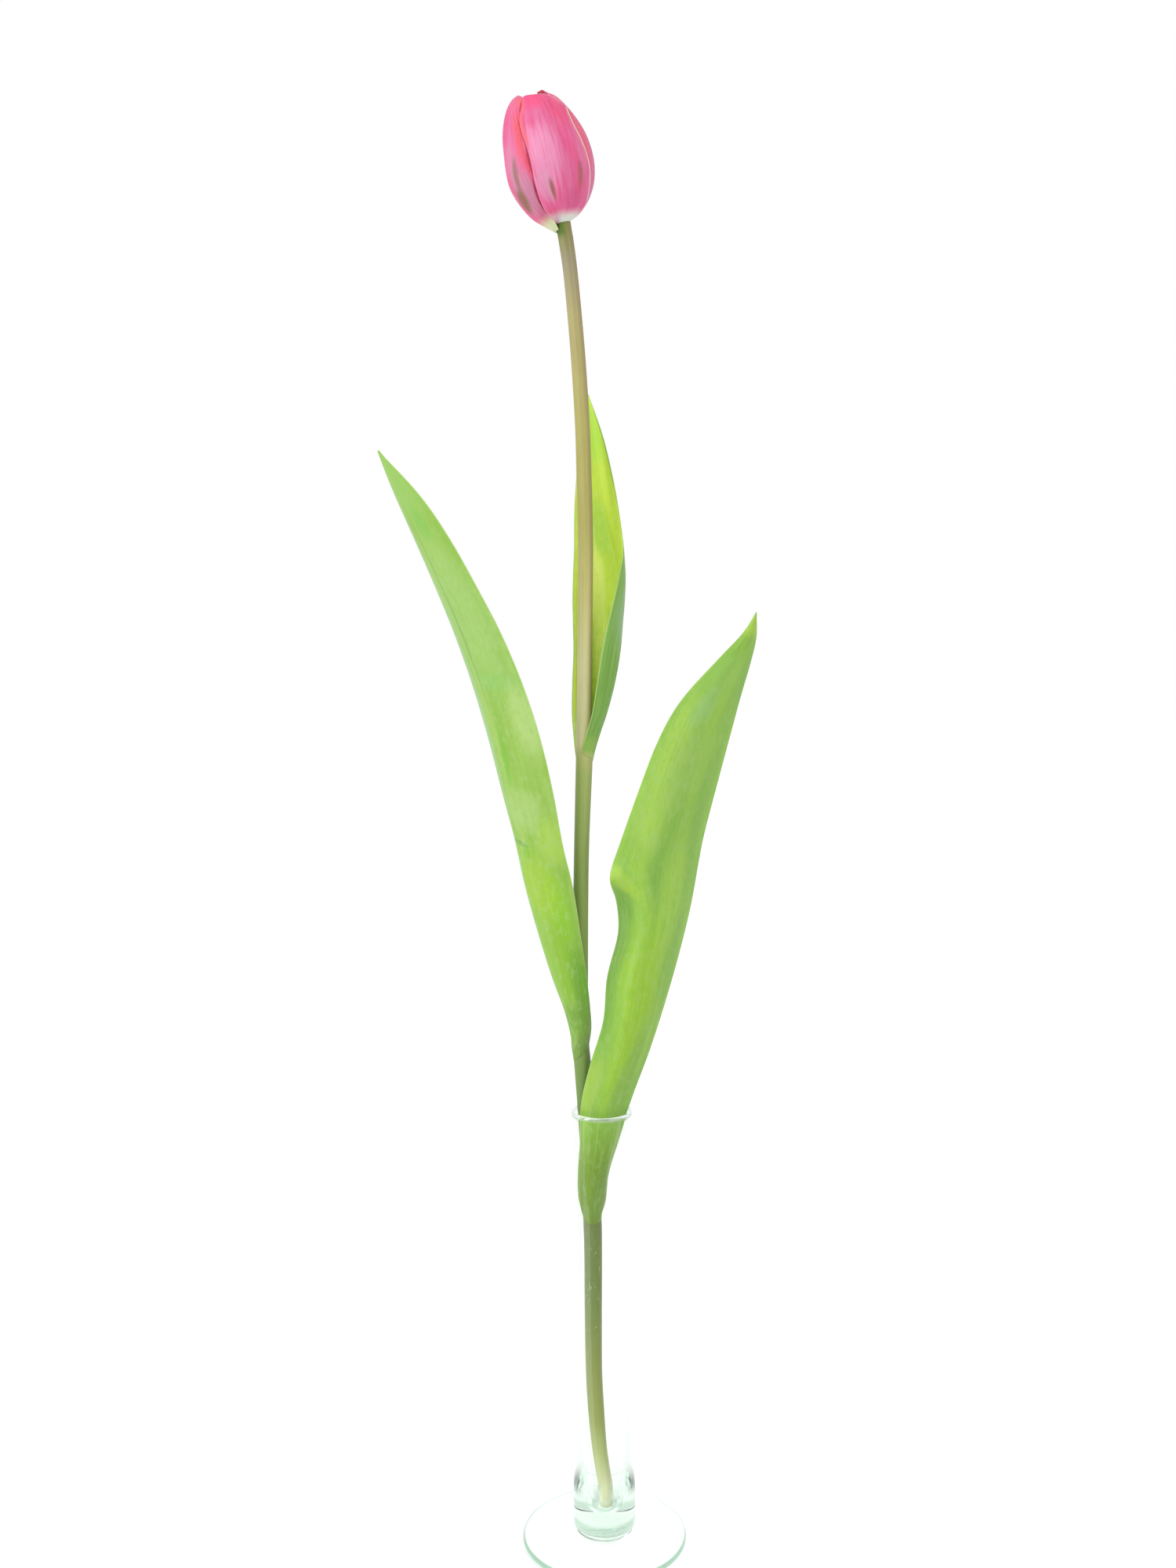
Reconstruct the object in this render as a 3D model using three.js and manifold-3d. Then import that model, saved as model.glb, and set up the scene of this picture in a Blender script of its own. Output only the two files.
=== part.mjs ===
// A single cut double tulip, still in bud, standing in a clear glass bud vase.
// Millimetres, +Z up. The origin is the centre of the underside of the vase's foot, and the
// flower shows its front to -Y. The pieces that touch keep a small gap, and none overlap.

import * as THREE from 'three';
import { mergeVertices } from 'three/addons/utils/BufferGeometryUtils.js';
import Module from 'manifold-3d';

// Vase
const VASE_HEIGHT = 161;
const FOOT_RADIUS = 30;
const FOOT_EDGE = 2.2;
const FOOT_BEVEL = 0.6;
const TUBE_RADIUS = 11.3;
const NECK_RADIUS = 10.5;
const LIP_RADIUS = 11.1;
const CAVITY_FLOOR = 11;
const CAVITY_RADIUS = 9.8;
const MOUTH_RADIUS = 9.5;
const VASE_SIDES = 36;

// Flower
const LEAF_GAP = 0.45;
const LEAF_THICKNESS = 0.7;
const TEPAL_THICKNESS = 0.6;
const LEAF_ROWS_PER_STATION = 2;
const LEAF_COLUMNS = 10;
const STEM_SIDES = 12;
const STEM_RINGS_PER_STATION = 2;

// Bloom: where its axis starts, how far it tips to the left, its length from the base to the
// tips, how far the tips nod, and how far each layer lies inside the one before
const BLOOM_BASE = new THREE.Vector3(-11.5, 0, 471);
const BLOOM_TILT = THREE.MathUtils.degToRad(12.5);
const BLOOM_LENGTH = 43;
const BLOOM_NOD = 2.2;
const LAYER_STEP = 2.6;
const TEPAL_ROWS = 12;
const TEPAL_COLUMNS = 8;

// A tepal's shape: where along it the width peaks, how the claw widens, how blunt the tip is,
// the least share of the width that is left there, and the widest half angle round the bud
const TEPAL_WIDEST = 0.42;
const CLAW_EASE = 1.25;
const TIP_BLUNTNESS = 2.6;
const TIP_SHARE = 0.05;
const WIDEST_SPREAD = 1.2;

// A tucked edge: how deep it slips under its neighbour, between which shares of the half
// width it dips, and over which first share of the length it sets in
const TUCK_DEPTH = 1.5;
const TUCK_FROM = 0.45;
const TUCK_TO = 0.85;
const TUCK_ONSET = 0.15;

// Stamens and pistil, with heights above the bloom's base
const STAMENS = 6;
const STAMEN_SPREAD = 4.4;
const STAMEN_ROOT = 0.7;
const FILAMENT_RADIUS = 0.6;
const FILAMENT_BEND = 11.6;
const FILAMENT_TOP = 15.6;
const FILAMENT_SIDES = 6;
const ANTHER_RADIUS = 1.1;
const ANTHER_LENGTH = 8;
const ANTHER_FOOT = 14.6;
const PISTIL_FOOT = 6.6;
const PISTIL_TOP = 24;
const PISTIL_SIDES = 10;
const STIGMA_LOBES = 3;
const STIGMA_RADIUS = 1.5;
const STIGMA_REACH = 1.3;

// The pistil's outline as [radius, height].
const PISTIL_OUTLINE = [
  [0, PISTIL_FOOT], [1.4, PISTIL_FOOT], [1.9, 9.6], [2.3, 16], [1.7, 22], [0, PISTIL_TOP - 1],
];

// The outline of the glass as [radius, height], first outside and then down into the cavity.
const VASE_OUTSIDE = [
  [0, 0], [FOOT_RADIUS - FOOT_BEVEL, 0], [FOOT_RADIUS, FOOT_BEVEL],
  [FOOT_RADIUS, FOOT_EDGE - FOOT_BEVEL], [FOOT_RADIUS - FOOT_BEVEL, FOOT_EDGE], [20, 2.9],
  [12.5, 3.7], [9.7, 4.4], [10.6, 5.2], [TUBE_RADIUS, 7.5], [TUBE_RADIUS, 62], [10.9, 110],
  [NECK_RADIUS, 146], [NECK_RADIUS, 153], [10.75, 157], [LIP_RADIUS, 159.6],
];
const VASE_LIP = [[11.05, 160.5], [10.5, VASE_HEIGHT], [10, 160.7]];
const VASE_CAVITY = [
  [MOUTH_RADIUS, 159], [9.4, 150], [9.65, 112], [CAVITY_RADIUS, 72], [9.5, 56], [8.7, 44],
  [7.5, 34], [6.4, 25], [5.6, 18.5], [4.9, 14.2], [3.9, 12.2], [2.4, 11.25], [0, CAVITY_FLOOR],
];

// The stem's route from its cut end upwards, as [x, y, z, radius].
const STEM_ROUTE = [
  [0.8, 0.2, 12.4, 2.4], [0.6, 0.2, 18, 2.7], [-0.6, 0.3, 26, 2.7], [-1.8, 0.5, 35, 2.8],
  [-2.8, 0.7, 48, 3], [-3.5, 1, 63, 3.05], [-3.6, 1.2, 85, 3.2], [-3.5, 1.3, 107, 3.3],
  [-3.7, 1.4, 120, 3.4], [-4.4, 1.4, 136, 3.2], [-5.6, 1.1, 158, 3.05], [-6.8, 0.7, 177, 3.1],
  [-7.6, 0.4, 188, 3.05], [-7.5, 0.1, 208, 2.9], [-6.8, 0, 250, 2.7], [-5.9, 0, 276, 2.9],
  [-5.4, 0, 290, 3], [-5.2, 0, 312, 2.7], [-4.8, 0, 339, 2.7], [-4.5, 0, 366, 2.7],
  [-4.9, 0, 388, 2.65], [-5.3, 0, 404, 2.6], [-6.7, 0, 428, 2.55], [-8.8, 0, 453, 2.5],
  [-10.3, 0, 465, 2.45],
];

// The stem's swollen top on the bloom's axis, as [height above the bloom's base, radius].
const RECEPTACLE = [
  [-2.8, 2.45], [-1.3, 2.8], [-0.1, 3.25], [0.4, 2.6], [1, 1.9], [2.8, 1.3], [6, 0.9],
];

// Each leaf is three curves of [x, y, z]: its left and right margins as seen from the front,
// and the middle that the blade is curved through.
const LEAVES = {
  leaf_lower: {
    left: [
      [-7.9, 1.6, 118.5], [-8.3, 1, 127], [-8.4, -1, 138], [-8, -3, 151], [-7.5, -3.8, 164.5],
      [-4, -5, 179.5], [0.5, -6, 194.5], [2, -5, 210], [6, -2.5, 225], [5.4, -5, 237],
      [3, -10.5, 247], [6.8, -10, 259], [13, -8.5, 276], [20, -8.5, 294], [27.3, -8.5, 308],
      [38.6, -8, 322], [47, -7.5, 331], [53.9, -6.3, 338.2],
    ],
    middle: [
      [-3.5, -3, 117], [-3.9, -3.8, 127], [-2.5, -5.8, 138], [-0.7, -7.1, 151.5],
      [1.5, -8.2, 165.5], [7, -10, 181], [12, -11.5, 197], [14.8, -12, 213], [18.4, -11.5, 228],
      [19.5, -11.5, 239.5], [20, -12, 249], [22, -11.5, 260.5], [27, -10.5, 278],
      [32.6, -10, 295], [38.5, -9.5, 308.5], [45.7, -9, 321.5], [50.8, -8, 330.5],
      [54.2, -6.3, 338.5],
    ],
    right: [
      [0.6, 1.6, 118.5], [1.2, 1.2, 127], [2.4, -0.4, 138], [6, -2, 151.5], [9.4, -2, 165.5],
      [16.5, -1.5, 182], [22, -0.5, 198.5], [26.5, 0.5, 215], [30.2, 1.5, 230], [32.4, 2, 241],
      [34, 2.5, 250], [36, 2.5, 261], [40.4, 2.5, 279], [44.6, 2, 295], [48.4, 1, 308.5],
      [52.2, -2, 321.5], [54.1, -4, 330], [54.5, -6, 338.2],
    ],
  },
  leaf_middle: {
    left: [
      [-11.3, 1.2, 181], [-11.7, 1.4, 188], [-13.5, 0.6, 197], [-17.5, 0, 209], [-22.5, 0, 225.5],
      [-27, 0, 242.5], [-30.5, -2, 260], [-34.5, -2, 276], [-39, -4, 295], [-44, -5, 313],
      [-50, -6, 331], [-56.5, -8, 348], [-63, -11, 364], [-69, -16, 379], [-73, -25, 391],
    ],
    middle: [
      [-7.6, -3.7, 180], [-7.7, -3.6, 188], [-9.4, -4.7, 197], [-12.3, -6, 209],
      [-16.3, -7.2, 225], [-20.2, -8.2, 242.5], [-23.7, -10.5, 259.5], [-27.5, -11.8, 276.5],
      [-31.9, -14.2, 295], [-37, -15.4, 313], [-43.6, -16.4, 331], [-50.8, -18.2, 347.5],
      [-58.2, -20.2, 363.5], [-65.3, -22.7, 378], [-72.6, -25.6, 391.3],
    ],
    right: [
      [-3.7, 1.2, 181], [-3.4, 1, 189], [-3.8, -0.8, 197], [-4.8, -3.6, 208],
      [-6.8, -6.5, 223.5], [-9.5, -9, 242.5], [-13, -12, 258.5], [-16, -15, 276.5],
      [-20, -18, 295], [-25.5, -20, 313], [-32.5, -22, 330.5], [-40.5, -24, 346.5],
      [-49.5, -26, 363], [-59, -27, 377], [-72.2, -26, 391],
    ],
  },
  leaf_upper: {
    left: [
      [-8.7, 2, 286.5], [-9.2, 2, 291], [-9.5, 2.2, 297], [-9.8, 2.4, 304], [-9.6, 2.6, 314],
      [-9.1, 3, 325], [-9.2, 3.8, 335], [-9.3, 4.6, 344], [-9, 5.6, 353], [-8.6, 6.5, 362],
      [-8.4, 7.5, 375], [-7.5, 8, 388], [-6.3, 8, 401], [-3.7, 8, 415],
    ],
    middle: [
      [-2.2, 3, 285], [-1.1, 3.5, 290.5], [0.6, 4, 297], [2.5, 4.5, 304], [4.8, 4.5, 314],
      [6.7, 4.5, 325], [7.3, 5.5, 335], [7.6, 6.5, 344], [7.1, 7.5, 353], [5, 9, 362],
      [2.5, 10, 375], [0.5, 10, 388], [-1.5, 9.5, 401], [-3.4, 8.2, 415.5],
    ],
    right: [
      [-4.8, -4, 287], [-4.8, -4.4, 291.5], [-3.8, -5, 297], [-2.4, -5.5, 304],
      [-0.9, -5.5, 314], [0.8, -5.5, 325], [3, -5, 335], [5.3, -4, 344], [7.3, -2.5, 353],
      [8.6, -0.5, 361], [7.1, 2, 375], [4.8, 4.5, 388], [1.7, 6.5, 401], [-3.2, 8, 415],
    ],
  },
};

// The bud's outer face as [radius, height] on the bloom's axis, and the lower start of the
// left tepal, which stands off the stem a little below the others.
const BUD_PROFILE = [
  [3.2, 0.6], [6.2, 2], [10.1, 5.6], [13.1, 11], [14.4, 17], [14.6, 22], [14.1, 28],
  [12.9, 33.5], [10.5, 38.2], [7.4, 41.2], [3.8, 42.8],
];
const LOW_PROFILE = [
  [3, -3], [6.8, 0.7], [10.2, 4.8], [13.2, 10.2], [14.6, 16.5], ...BUD_PROFILE.slice(5),
];

// The outer tepals. Centre is the angle from the front towards the right, twist turns the tip,
// width is half the width over the curve, claw is the base's share of it, tucks are the edges
// that slip under a neighbour (-1 the left one, 1 the right one) and rise lifts the tip.
const OUTER_TEPALS = {
  tepal_outer_front: { centre: 23, twist: -20, width: 12.4, claw: 0.2, tucks: [], rise: 0 },
  tepal_outer_left: {
    centre: -93, twist: 0, width: 17.5, claw: 0.08, tucks: [1], rise: 0, profile: LOW_PROFILE,
  },
  tepal_outer_right: { centre: 131, twist: 0, width: 19.5, claw: 0.06, tucks: [-1, 1], rise: 1.5 },
};
const INNER_RINGS = [
  { name: 'tepal_middle', layer: 1, first: 82, width: 13.5, claw: 0.1, tucks: [1] },
  { name: 'tepal_heart', layer: 2, first: 22, width: 9, claw: 0.15, tucks: [], start: 0.08, end: 0.9 },
];
const RING_TEPALS = 3;

const MATERIALS = {
  glass: new THREE.MeshStandardMaterial({
    color: 0xdfeee6, roughness: 0.05, metalness: 0, transparent: true, opacity: 0.35,
  }),
  stem: new THREE.MeshStandardMaterial({ color: 0x8f9c6c, roughness: 0.55, metalness: 0 }),
  leaf: new THREE.MeshStandardMaterial({ color: 0x6fa457, roughness: 0.5, metalness: 0 }),
  tepal: new THREE.MeshStandardMaterial({ color: 0xe86a9a, roughness: 0.5, metalness: 0 }),
  pollen: new THREE.MeshStandardMaterial({ color: 0xd9c25a, roughness: 0.8, metalness: 0 }),
};

const wasm = await Module();
wasm.setup();

/** A point on the smooth curve through rows of numbers, for t from 0 to 1. */
function spline(rows, t) {
  const last = rows.length - 1;
  const place = THREE.MathUtils.clamp(t, 0, 1) * last;
  const i = Math.min(Math.floor(place), last - 1);
  const f = place - i;
  const before = rows[i - 1] ?? rows[i].map((value, k) => 2 * value - rows[i + 1][k]);
  const after = rows[i + 2] ?? rows[i + 1].map((value, k) => 2 * value - rows[i][k]);
  return rows[i].map((p1, k) => {
    const [p0, p2, p3] = [before[k], rows[i + 1][k], after[k]];
    const slope = p2 - p0;
    return p1 + 0.5 * f * (slope + f * (2 * p0 - 5 * p1 + 4 * p2 - p3 + f * (3 * (p1 - p2) + p3 - p0)));
  });
}

/** A closed solid from its corners and its triangles' corner numbers. */
function solidGeometry(points, triangles) {
  const geometry = new THREE.BufferGeometry().setFromPoints(points);
  geometry.setIndex(triangles);
  geometry.computeVertexNormals();
  return geometry;
}

/** A blade of even thickness about the middle surface that place(u, v) gives, v from -1 to 1. */
function blade(place, rows, columns, thickness) {
  const step = 1e-3;
  const front = [];
  const back = [];
  for (let i = 0; i <= rows; i++) {
    for (let j = 0; j <= columns; j++) {
      const u = i / rows;
      const v = (2 * j) / columns - 1;
      const along = place(Math.min(u + step, 1), v).sub(place(Math.max(u - step, 0), v));
      const across = place(u, Math.min(v + step, 1)).sub(place(u, Math.max(v - step, -1)));
      const half = along.cross(across).setLength(thickness / 2);
      const middle = place(u, v);
      front.push(middle.clone().add(half));
      back.push(middle.clone().sub(half));
    }
  }
  const width = columns + 1;
  const count = front.length;
  const triangles = [];
  for (let i = 0; i < rows; i++) {
    for (let j = 0; j < columns; j++) {
      const a = i * width + j;
      const [b, c, d] = [a + width, a + width + 1, a + 1];
      triangles.push(a, b, c, a, c, d);
      triangles.push(a + count, c + count, b + count, a + count, d + count, c + count);
    }
  }
  const rim = [];
  for (let i = 0; i < rows; i++) rim.push(i * width);
  for (let j = 0; j < columns; j++) rim.push(rows * width + j);
  for (let i = rows; i > 0; i--) rim.push(i * width + columns);
  for (let j = columns; j > 0; j--) rim.push(j);
  rim.forEach((p, k) => {
    const q = rim[(k + 1) % rim.length];
    triangles.push(q, p, p + count, q, p + count, q + count);
  });
  return solidGeometry([...front, ...back], triangles);
}

/** Evenly spaced [x, y, z, radius] rings along the smooth curve through stations. */
function ringsAlong(stations, perStation) {
  const steps = (stations.length - 1) * perStation;
  return Array.from({ length: steps + 1 }, (_, i) => spline(stations, i / steps));
}

/** A round rod through rings of [x, y, z, radius], closed by a flat cap at each end. */
function rod(rings, sides) {
  const last = rings.length - 1;
  const centres = rings.map(([x, y, z]) => new THREE.Vector3(x, y, z));
  const points = [];
  centres.forEach((centre, i) => {
    const along = centres[Math.min(i + 1, last)].clone().sub(centres[Math.max(i - 1, 0)]);
    const right = new THREE.Vector3(0, 1, 0).cross(along).normalize();
    const rear = along.cross(right).normalize();
    for (let j = 0; j < sides; j++) {
      const angle = (2 * Math.PI * j) / sides;
      const point = centre.clone().addScaledVector(right, rings[i][3] * Math.cos(angle));
      points.push(point.addScaledVector(rear, rings[i][3] * Math.sin(angle)));
    }
  });
  const foot = points.push(centres[0]) - 1;
  const head = points.push(centres[last]) - 1;
  const triangles = [];
  for (let j = 0; j < sides; j++) {
    const next = (j + 1) % sides;
    triangles.push(foot, next, j, head, last * sides + j, last * sides + next);
    for (let i = 0; i < last; i++) {
      const [a, b] = [i * sides + j, i * sides + next];
      triangles.push(a, b, b + sides, a, b + sides, a + sides);
    }
  }
  return solidGeometry(points, triangles);
}

/** A turned solid about the Z axis, from its outline of [radius, height]. */
function turned(outline, sides) {
  const points = outline.map(([r, z]) => new THREE.Vector2(r, z));
  return new THREE.LatheGeometry(points, sides).rotateX(Math.PI / 2);
}

/** A point on the bloom's axis, at a height above the bloom's base. */
function onBloomAxis(height) {
  const axis = new THREE.Vector3(-Math.sin(BLOOM_TILT), 0, Math.cos(BLOOM_TILT));
  return BLOOM_BASE.clone().addScaledVector(axis, height);
}

// The stem with the swollen top that carries the tepals.
const STEM_STATIONS = [
  ...STEM_ROUTE, ...RECEPTACLE.map(([height, radius]) => [...onBloomAxis(height), radius]),
];
const STEM_RINGS = ringsAlong(STEM_STATIONS, STEM_RINGS_PER_STATION);

/** Keeps a leaf's point clear of the stem, and inside the vase where it is below the rim. */
function keepClear(point) {
  const above = Math.max(STEM_RINGS.findIndex((ring) => ring[2] > point.z), 1);
  const [low, high] = [STEM_RINGS[above - 1], STEM_RINGS[above]];
  const share = (point.z - low[2]) / (high[2] - low[2]);
  const [x, y, , radius] = low.map((value, i) => THREE.MathUtils.lerp(value, high[i], share));
  const room = LEAF_GAP + LEAF_THICKNESS / 2;
  const off = new THREE.Vector2(point.x - x, point.y - y);
  off.setLength(Math.max(off.length(), radius + room));
  const flat = off.add(new THREE.Vector2(x, y));
  if (point.z < VASE_HEIGHT + room) flat.clampLength(0, MOUTH_RADIUS - room);
  return new THREE.Vector3(flat.x, flat.y, point.z);
}

/** A leaf, curved across through its two margins and its middle. */
function leafGeometry({ left, middle, right }) {
  const place = (u, v) => {
    const point = new THREE.Vector3();
    point.addScaledVector(new THREE.Vector3(...spline(left, u)), (v * v - v) / 2);
    point.addScaledVector(new THREE.Vector3(...spline(middle, u)), 1 - v * v);
    point.addScaledVector(new THREE.Vector3(...spline(right, u)), (v * v + v) / 2);
    return keepClear(point);
  };
  return blade(place, (left.length - 1) * LEAF_ROWS_PER_STATION, LEAF_COLUMNS, LEAF_THICKNESS);
}

/** Half a tepal's width at t, as a share of the widest: a narrow claw and a blunt round tip. */
function tepalShape(t, claw) {
  if (t < TEPAL_WIDEST) {
    return claw + (1 - claw) * Math.sin((Math.PI / 2) * (t / TEPAL_WIDEST)) ** CLAW_EASE;
  }
  const past = (t - TEPAL_WIDEST) / (1 - TEPAL_WIDEST);
  return Math.max(Math.sqrt(1 - past ** TIP_BLUNTNESS), TIP_SHARE);
}

/** The unit direction in which a profile runs at t, as (outwards, upwards). */
function profileSlope(profile, t) {
  const step = 0.01;
  const [ahead, behind] = [spline(profile, t + step), spline(profile, t - step)];
  return new THREE.Vector2(ahead[0] - behind[0], ahead[1] - behind[1]).normalize();
}

/** A tepal on the bud's profile, moved inwards by its layer and at its tucked edges. */
function tepalGeometry(tepal) {
  const { centre, width, claw, tucks, twist = 0, rise = 0, layer = 0 } = tepal;
  const { profile = BUD_PROFILE, start = 0, end = 1 } = tepal;
  const place = (u, v) => {
    const t = start + (end - start) * u;
    const [radius, height] = spline(profile, t);
    const slope = profileSlope(profile, t);
    const dip = THREE.MathUtils.smoothstep(Math.abs(v), TUCK_FROM, TUCK_TO);
    const onset = Math.sin((Math.PI / 2) * Math.min(t / TUCK_ONSET, 1));
    const tuck = tucks.includes(Math.sign(v)) ? dip * onset * TUCK_DEPTH : 0;
    const inwards = layer * LAYER_STEP + tuck;
    const r = radius - slope.y * inwards;
    const lift = rise * t ** 4 * (1 - v * v) ** 2;
    const h = height + slope.x * inwards + lift;
    const spread = Math.min((width * tepalShape(u, claw)) / r, WIDEST_SPREAD);
    const angle = THREE.MathUtils.degToRad(centre + twist * (t - TEPAL_WIDEST)) + v * spread;
    const nod = -BLOOM_NOD * (h / BLOOM_LENGTH) ** 3;
    return new THREE.Vector3(nod + r * Math.sin(angle), -r * Math.cos(angle), h);
  };
  return blade(place, TEPAL_ROWS, TEPAL_COLUMNS, TEPAL_THICKNESS);
}

/** A closed geometry as a solid that can be joined to others. */
function toSolid(geometry) {
  const bare = geometry.clone();
  bare.deleteAttribute('normal');
  bare.deleteAttribute('uv');
  const merged = mergeVertices(bare, 1e-4);
  const mesh = new wasm.Mesh({
    numProp: 3,
    vertProperties: Float32Array.from(merged.attributes.position.array),
    triVerts: Uint32Array.from(merged.index.array),
  });
  return new wasm.Manifold(mesh);
}

/** A joined solid as a geometry again. */
function toGeometry(solid) {
  const { vertProperties, triVerts } = solid.getMesh();
  const geometry = new THREE.BufferGeometry();
  geometry.setAttribute('position', new THREE.BufferAttribute(Float32Array.from(vertProperties), 3));
  geometry.setIndex(new THREE.BufferAttribute(Uint32Array.from(triVerts), 1));
  geometry.computeVertexNormals();
  return geometry;
}

/** The pistil with its three-lobed stigma, and the stamens that grow from its root. */
function heartGeometry() {
  let heart = toSolid(turned(PISTIL_OUTLINE, PISTIL_SIDES));
  for (let k = 0; k < STIGMA_LOBES; k++) {
    const lobe = new THREE.SphereGeometry(STIGMA_RADIUS, 8, 6).scale(1.3, 0.7, 0.8);
    lobe.translate(STIGMA_REACH, 0, PISTIL_TOP - STIGMA_RADIUS);
    heart = heart.add(toSolid(lobe.rotateZ((2 * Math.PI * k) / STIGMA_LOBES)));
  }
  for (let k = 0; k < STAMENS; k++) {
    const turn = (2 * Math.PI * (k + 0.5)) / STAMENS;
    const filament = rod(ringsAlong([
      [STAMEN_ROOT, 0, PISTIL_FOOT + 1, FILAMENT_RADIUS],
      [STAMEN_SPREAD - 1, 0, FILAMENT_BEND, FILAMENT_RADIUS],
      [STAMEN_SPREAD, 0, FILAMENT_TOP, FILAMENT_RADIUS],
    ], 2), FILAMENT_SIDES);
    const straight = ANTHER_LENGTH - 2 * ANTHER_RADIUS;
    const anther = new THREE.CapsuleGeometry(ANTHER_RADIUS, straight, 2, 8).rotateX(Math.PI / 2);
    anther.translate(STAMEN_SPREAD, 0, ANTHER_FOOT + ANTHER_LENGTH / 2);
    heart = heart.add(toSolid(filament.rotateZ(turn))).add(toSolid(anther.rotateZ(turn)));
  }
  return toGeometry(heart);
}

/** Adds a named mesh to a group. */
function add(group, name, geometry, material) {
  const mesh = new THREE.Mesh(geometry, material);
  mesh.name = name;
  group.add(mesh);
}

/** The bud: three rings of tepals round the stamens and pistil, tipped on the stem. */
function bloomGroup() {
  const bloom = new THREE.Group();
  bloom.position.copy(BLOOM_BASE);
  bloom.rotation.y = -BLOOM_TILT;
  for (const [name, tepal] of Object.entries(OUTER_TEPALS)) {
    add(bloom, name, tepalGeometry(tepal), MATERIALS.tepal);
  }
  for (const { name, first, ...ring } of INNER_RINGS) {
    for (let k = 0; k < RING_TEPALS; k++) {
      const centre = first + (360 * k) / RING_TEPALS;
      add(bloom, `${name}_${k + 1}`, tepalGeometry({ centre, ...ring }), MATERIALS.tepal);
    }
  }
  add(bloom, 'stamens_and_pistil', heartGeometry(), MATERIALS.pollen);
  return bloom;
}

const tulip = new THREE.Group();
add(tulip, 'vase', turned([...VASE_OUTSIDE, ...VASE_LIP, ...VASE_CAVITY], VASE_SIDES), MATERIALS.glass);
add(tulip, 'stem', rod(STEM_RINGS, STEM_SIDES), MATERIALS.stem);
for (const [name, leaf] of Object.entries(LEAVES)) {
  add(tulip, name, leafGeometry(leaf), MATERIALS.leaf);
}
tulip.add(bloomGroup());

export default tulip;
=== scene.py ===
"""A cut double tulip, still in bud, standing in a clear glass bud vase.

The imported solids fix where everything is. This script gives each of them its finished form:
a turned glass vase, a round stem, finely curved blades for the leaves and the petals, and
their materials, with a pale floor, soft studio light and the photograph's camera.
Lengths in the tables are millimetres in the frame of the solids, and MM makes them metres.
"""

import bisect
import logging
import math
from collections.abc import Callable, Iterable, Sequence
from dataclasses import dataclass, field
from enum import Enum

import bmesh
import bpy
from mathutils import Euler, Matrix, Vector

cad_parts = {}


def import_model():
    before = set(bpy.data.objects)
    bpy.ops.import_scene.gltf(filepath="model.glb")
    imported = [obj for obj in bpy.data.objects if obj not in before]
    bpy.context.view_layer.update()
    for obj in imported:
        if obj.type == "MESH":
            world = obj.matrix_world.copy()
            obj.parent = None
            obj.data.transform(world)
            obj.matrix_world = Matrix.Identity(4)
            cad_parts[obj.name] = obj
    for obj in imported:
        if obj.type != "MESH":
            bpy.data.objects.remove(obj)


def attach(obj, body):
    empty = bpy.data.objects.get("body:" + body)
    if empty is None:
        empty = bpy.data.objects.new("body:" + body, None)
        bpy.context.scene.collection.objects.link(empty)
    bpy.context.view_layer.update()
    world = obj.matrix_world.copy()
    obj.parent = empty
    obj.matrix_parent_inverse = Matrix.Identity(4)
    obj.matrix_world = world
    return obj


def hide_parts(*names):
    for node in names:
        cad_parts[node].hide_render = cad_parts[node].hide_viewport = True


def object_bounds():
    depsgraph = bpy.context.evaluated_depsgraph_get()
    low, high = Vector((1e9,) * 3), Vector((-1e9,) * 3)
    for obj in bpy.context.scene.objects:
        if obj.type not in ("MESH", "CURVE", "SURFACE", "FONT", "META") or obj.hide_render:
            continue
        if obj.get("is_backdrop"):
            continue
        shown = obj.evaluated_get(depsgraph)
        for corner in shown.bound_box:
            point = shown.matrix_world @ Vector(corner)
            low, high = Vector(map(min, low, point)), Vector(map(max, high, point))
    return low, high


MM = 0.001
BODY = "root"

# The layers that a blade or the stem carries for its pattern: its own grain, and the flow
# that goes on from petal to petal round the bud.
GRAIN = "grain"
FLOW = "flow"

# What the studio's light does to a colour: it makes it LIT times as bright and adds the
# white that the skin reflects, or the larger VEIL where the glass stands before it.
LIT = 1.28
SHEEN = 0.025
VEIL = 0.035

log = logging.getLogger("tulip")

Rows = Sequence[Sequence[float]]
Point = tuple[float, float, float]
Colour = tuple[float, float, float, float]
# Where something rises from nothing or falls to it, as its first and its last place.
Slope = tuple[float, float]
# Where something starts to show, is full, starts to fade and is gone.
Span = tuple[float, float, float, float]

WHITE: Colour = (1.0, 1.0, 1.0, 1.0)
BLACK: Colour = (0.0, 0.0, 0.0, 1.0)


def spline(rows: Rows, t: float) -> list[float]:
    """Finds a point on the smooth curve through evenly spaced rows of numbers.

    Args:
        rows: The numbers at each station.
        t: The place along the curve, from 0 to 1.

    Returns:
        The numbers there.
    """
    last = len(rows) - 1
    place = min(max(t, 0.0), 1.0) * last
    i = min(int(place), last - 1)
    f = place - i
    low, high = rows[i], rows[i + 1]
    before = rows[i - 1] if i > 0 else [2 * a - b for a, b in zip(low, high)]
    after = rows[i + 2] if i + 2 <= last else [2 * b - a for a, b in zip(low, high)]
    point = []
    for p0, p1, p2, p3 in zip(before, low, high, after):
        cubic = 3 * (p1 - p2) + p3 - p0
        square = 2 * p0 - 5 * p1 + 4 * p2 - p3
        point.append(p1 + 0.5 * f * (p2 - p0 + f * (square + f * cubic)))
    return point


def smooth(value: float, low: float, high: float) -> float:
    """Rises smoothly from 0 to 1 as a value goes from low to high.

    Args:
        value: The value.
        low: Where the rise starts.
        high: Where it ends.

    Returns:
        The share, from 0 to 1.
    """
    share = min(max((value - low) / (high - low), 0.0), 1.0)
    return share * share * (3 - 2 * share)


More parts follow.
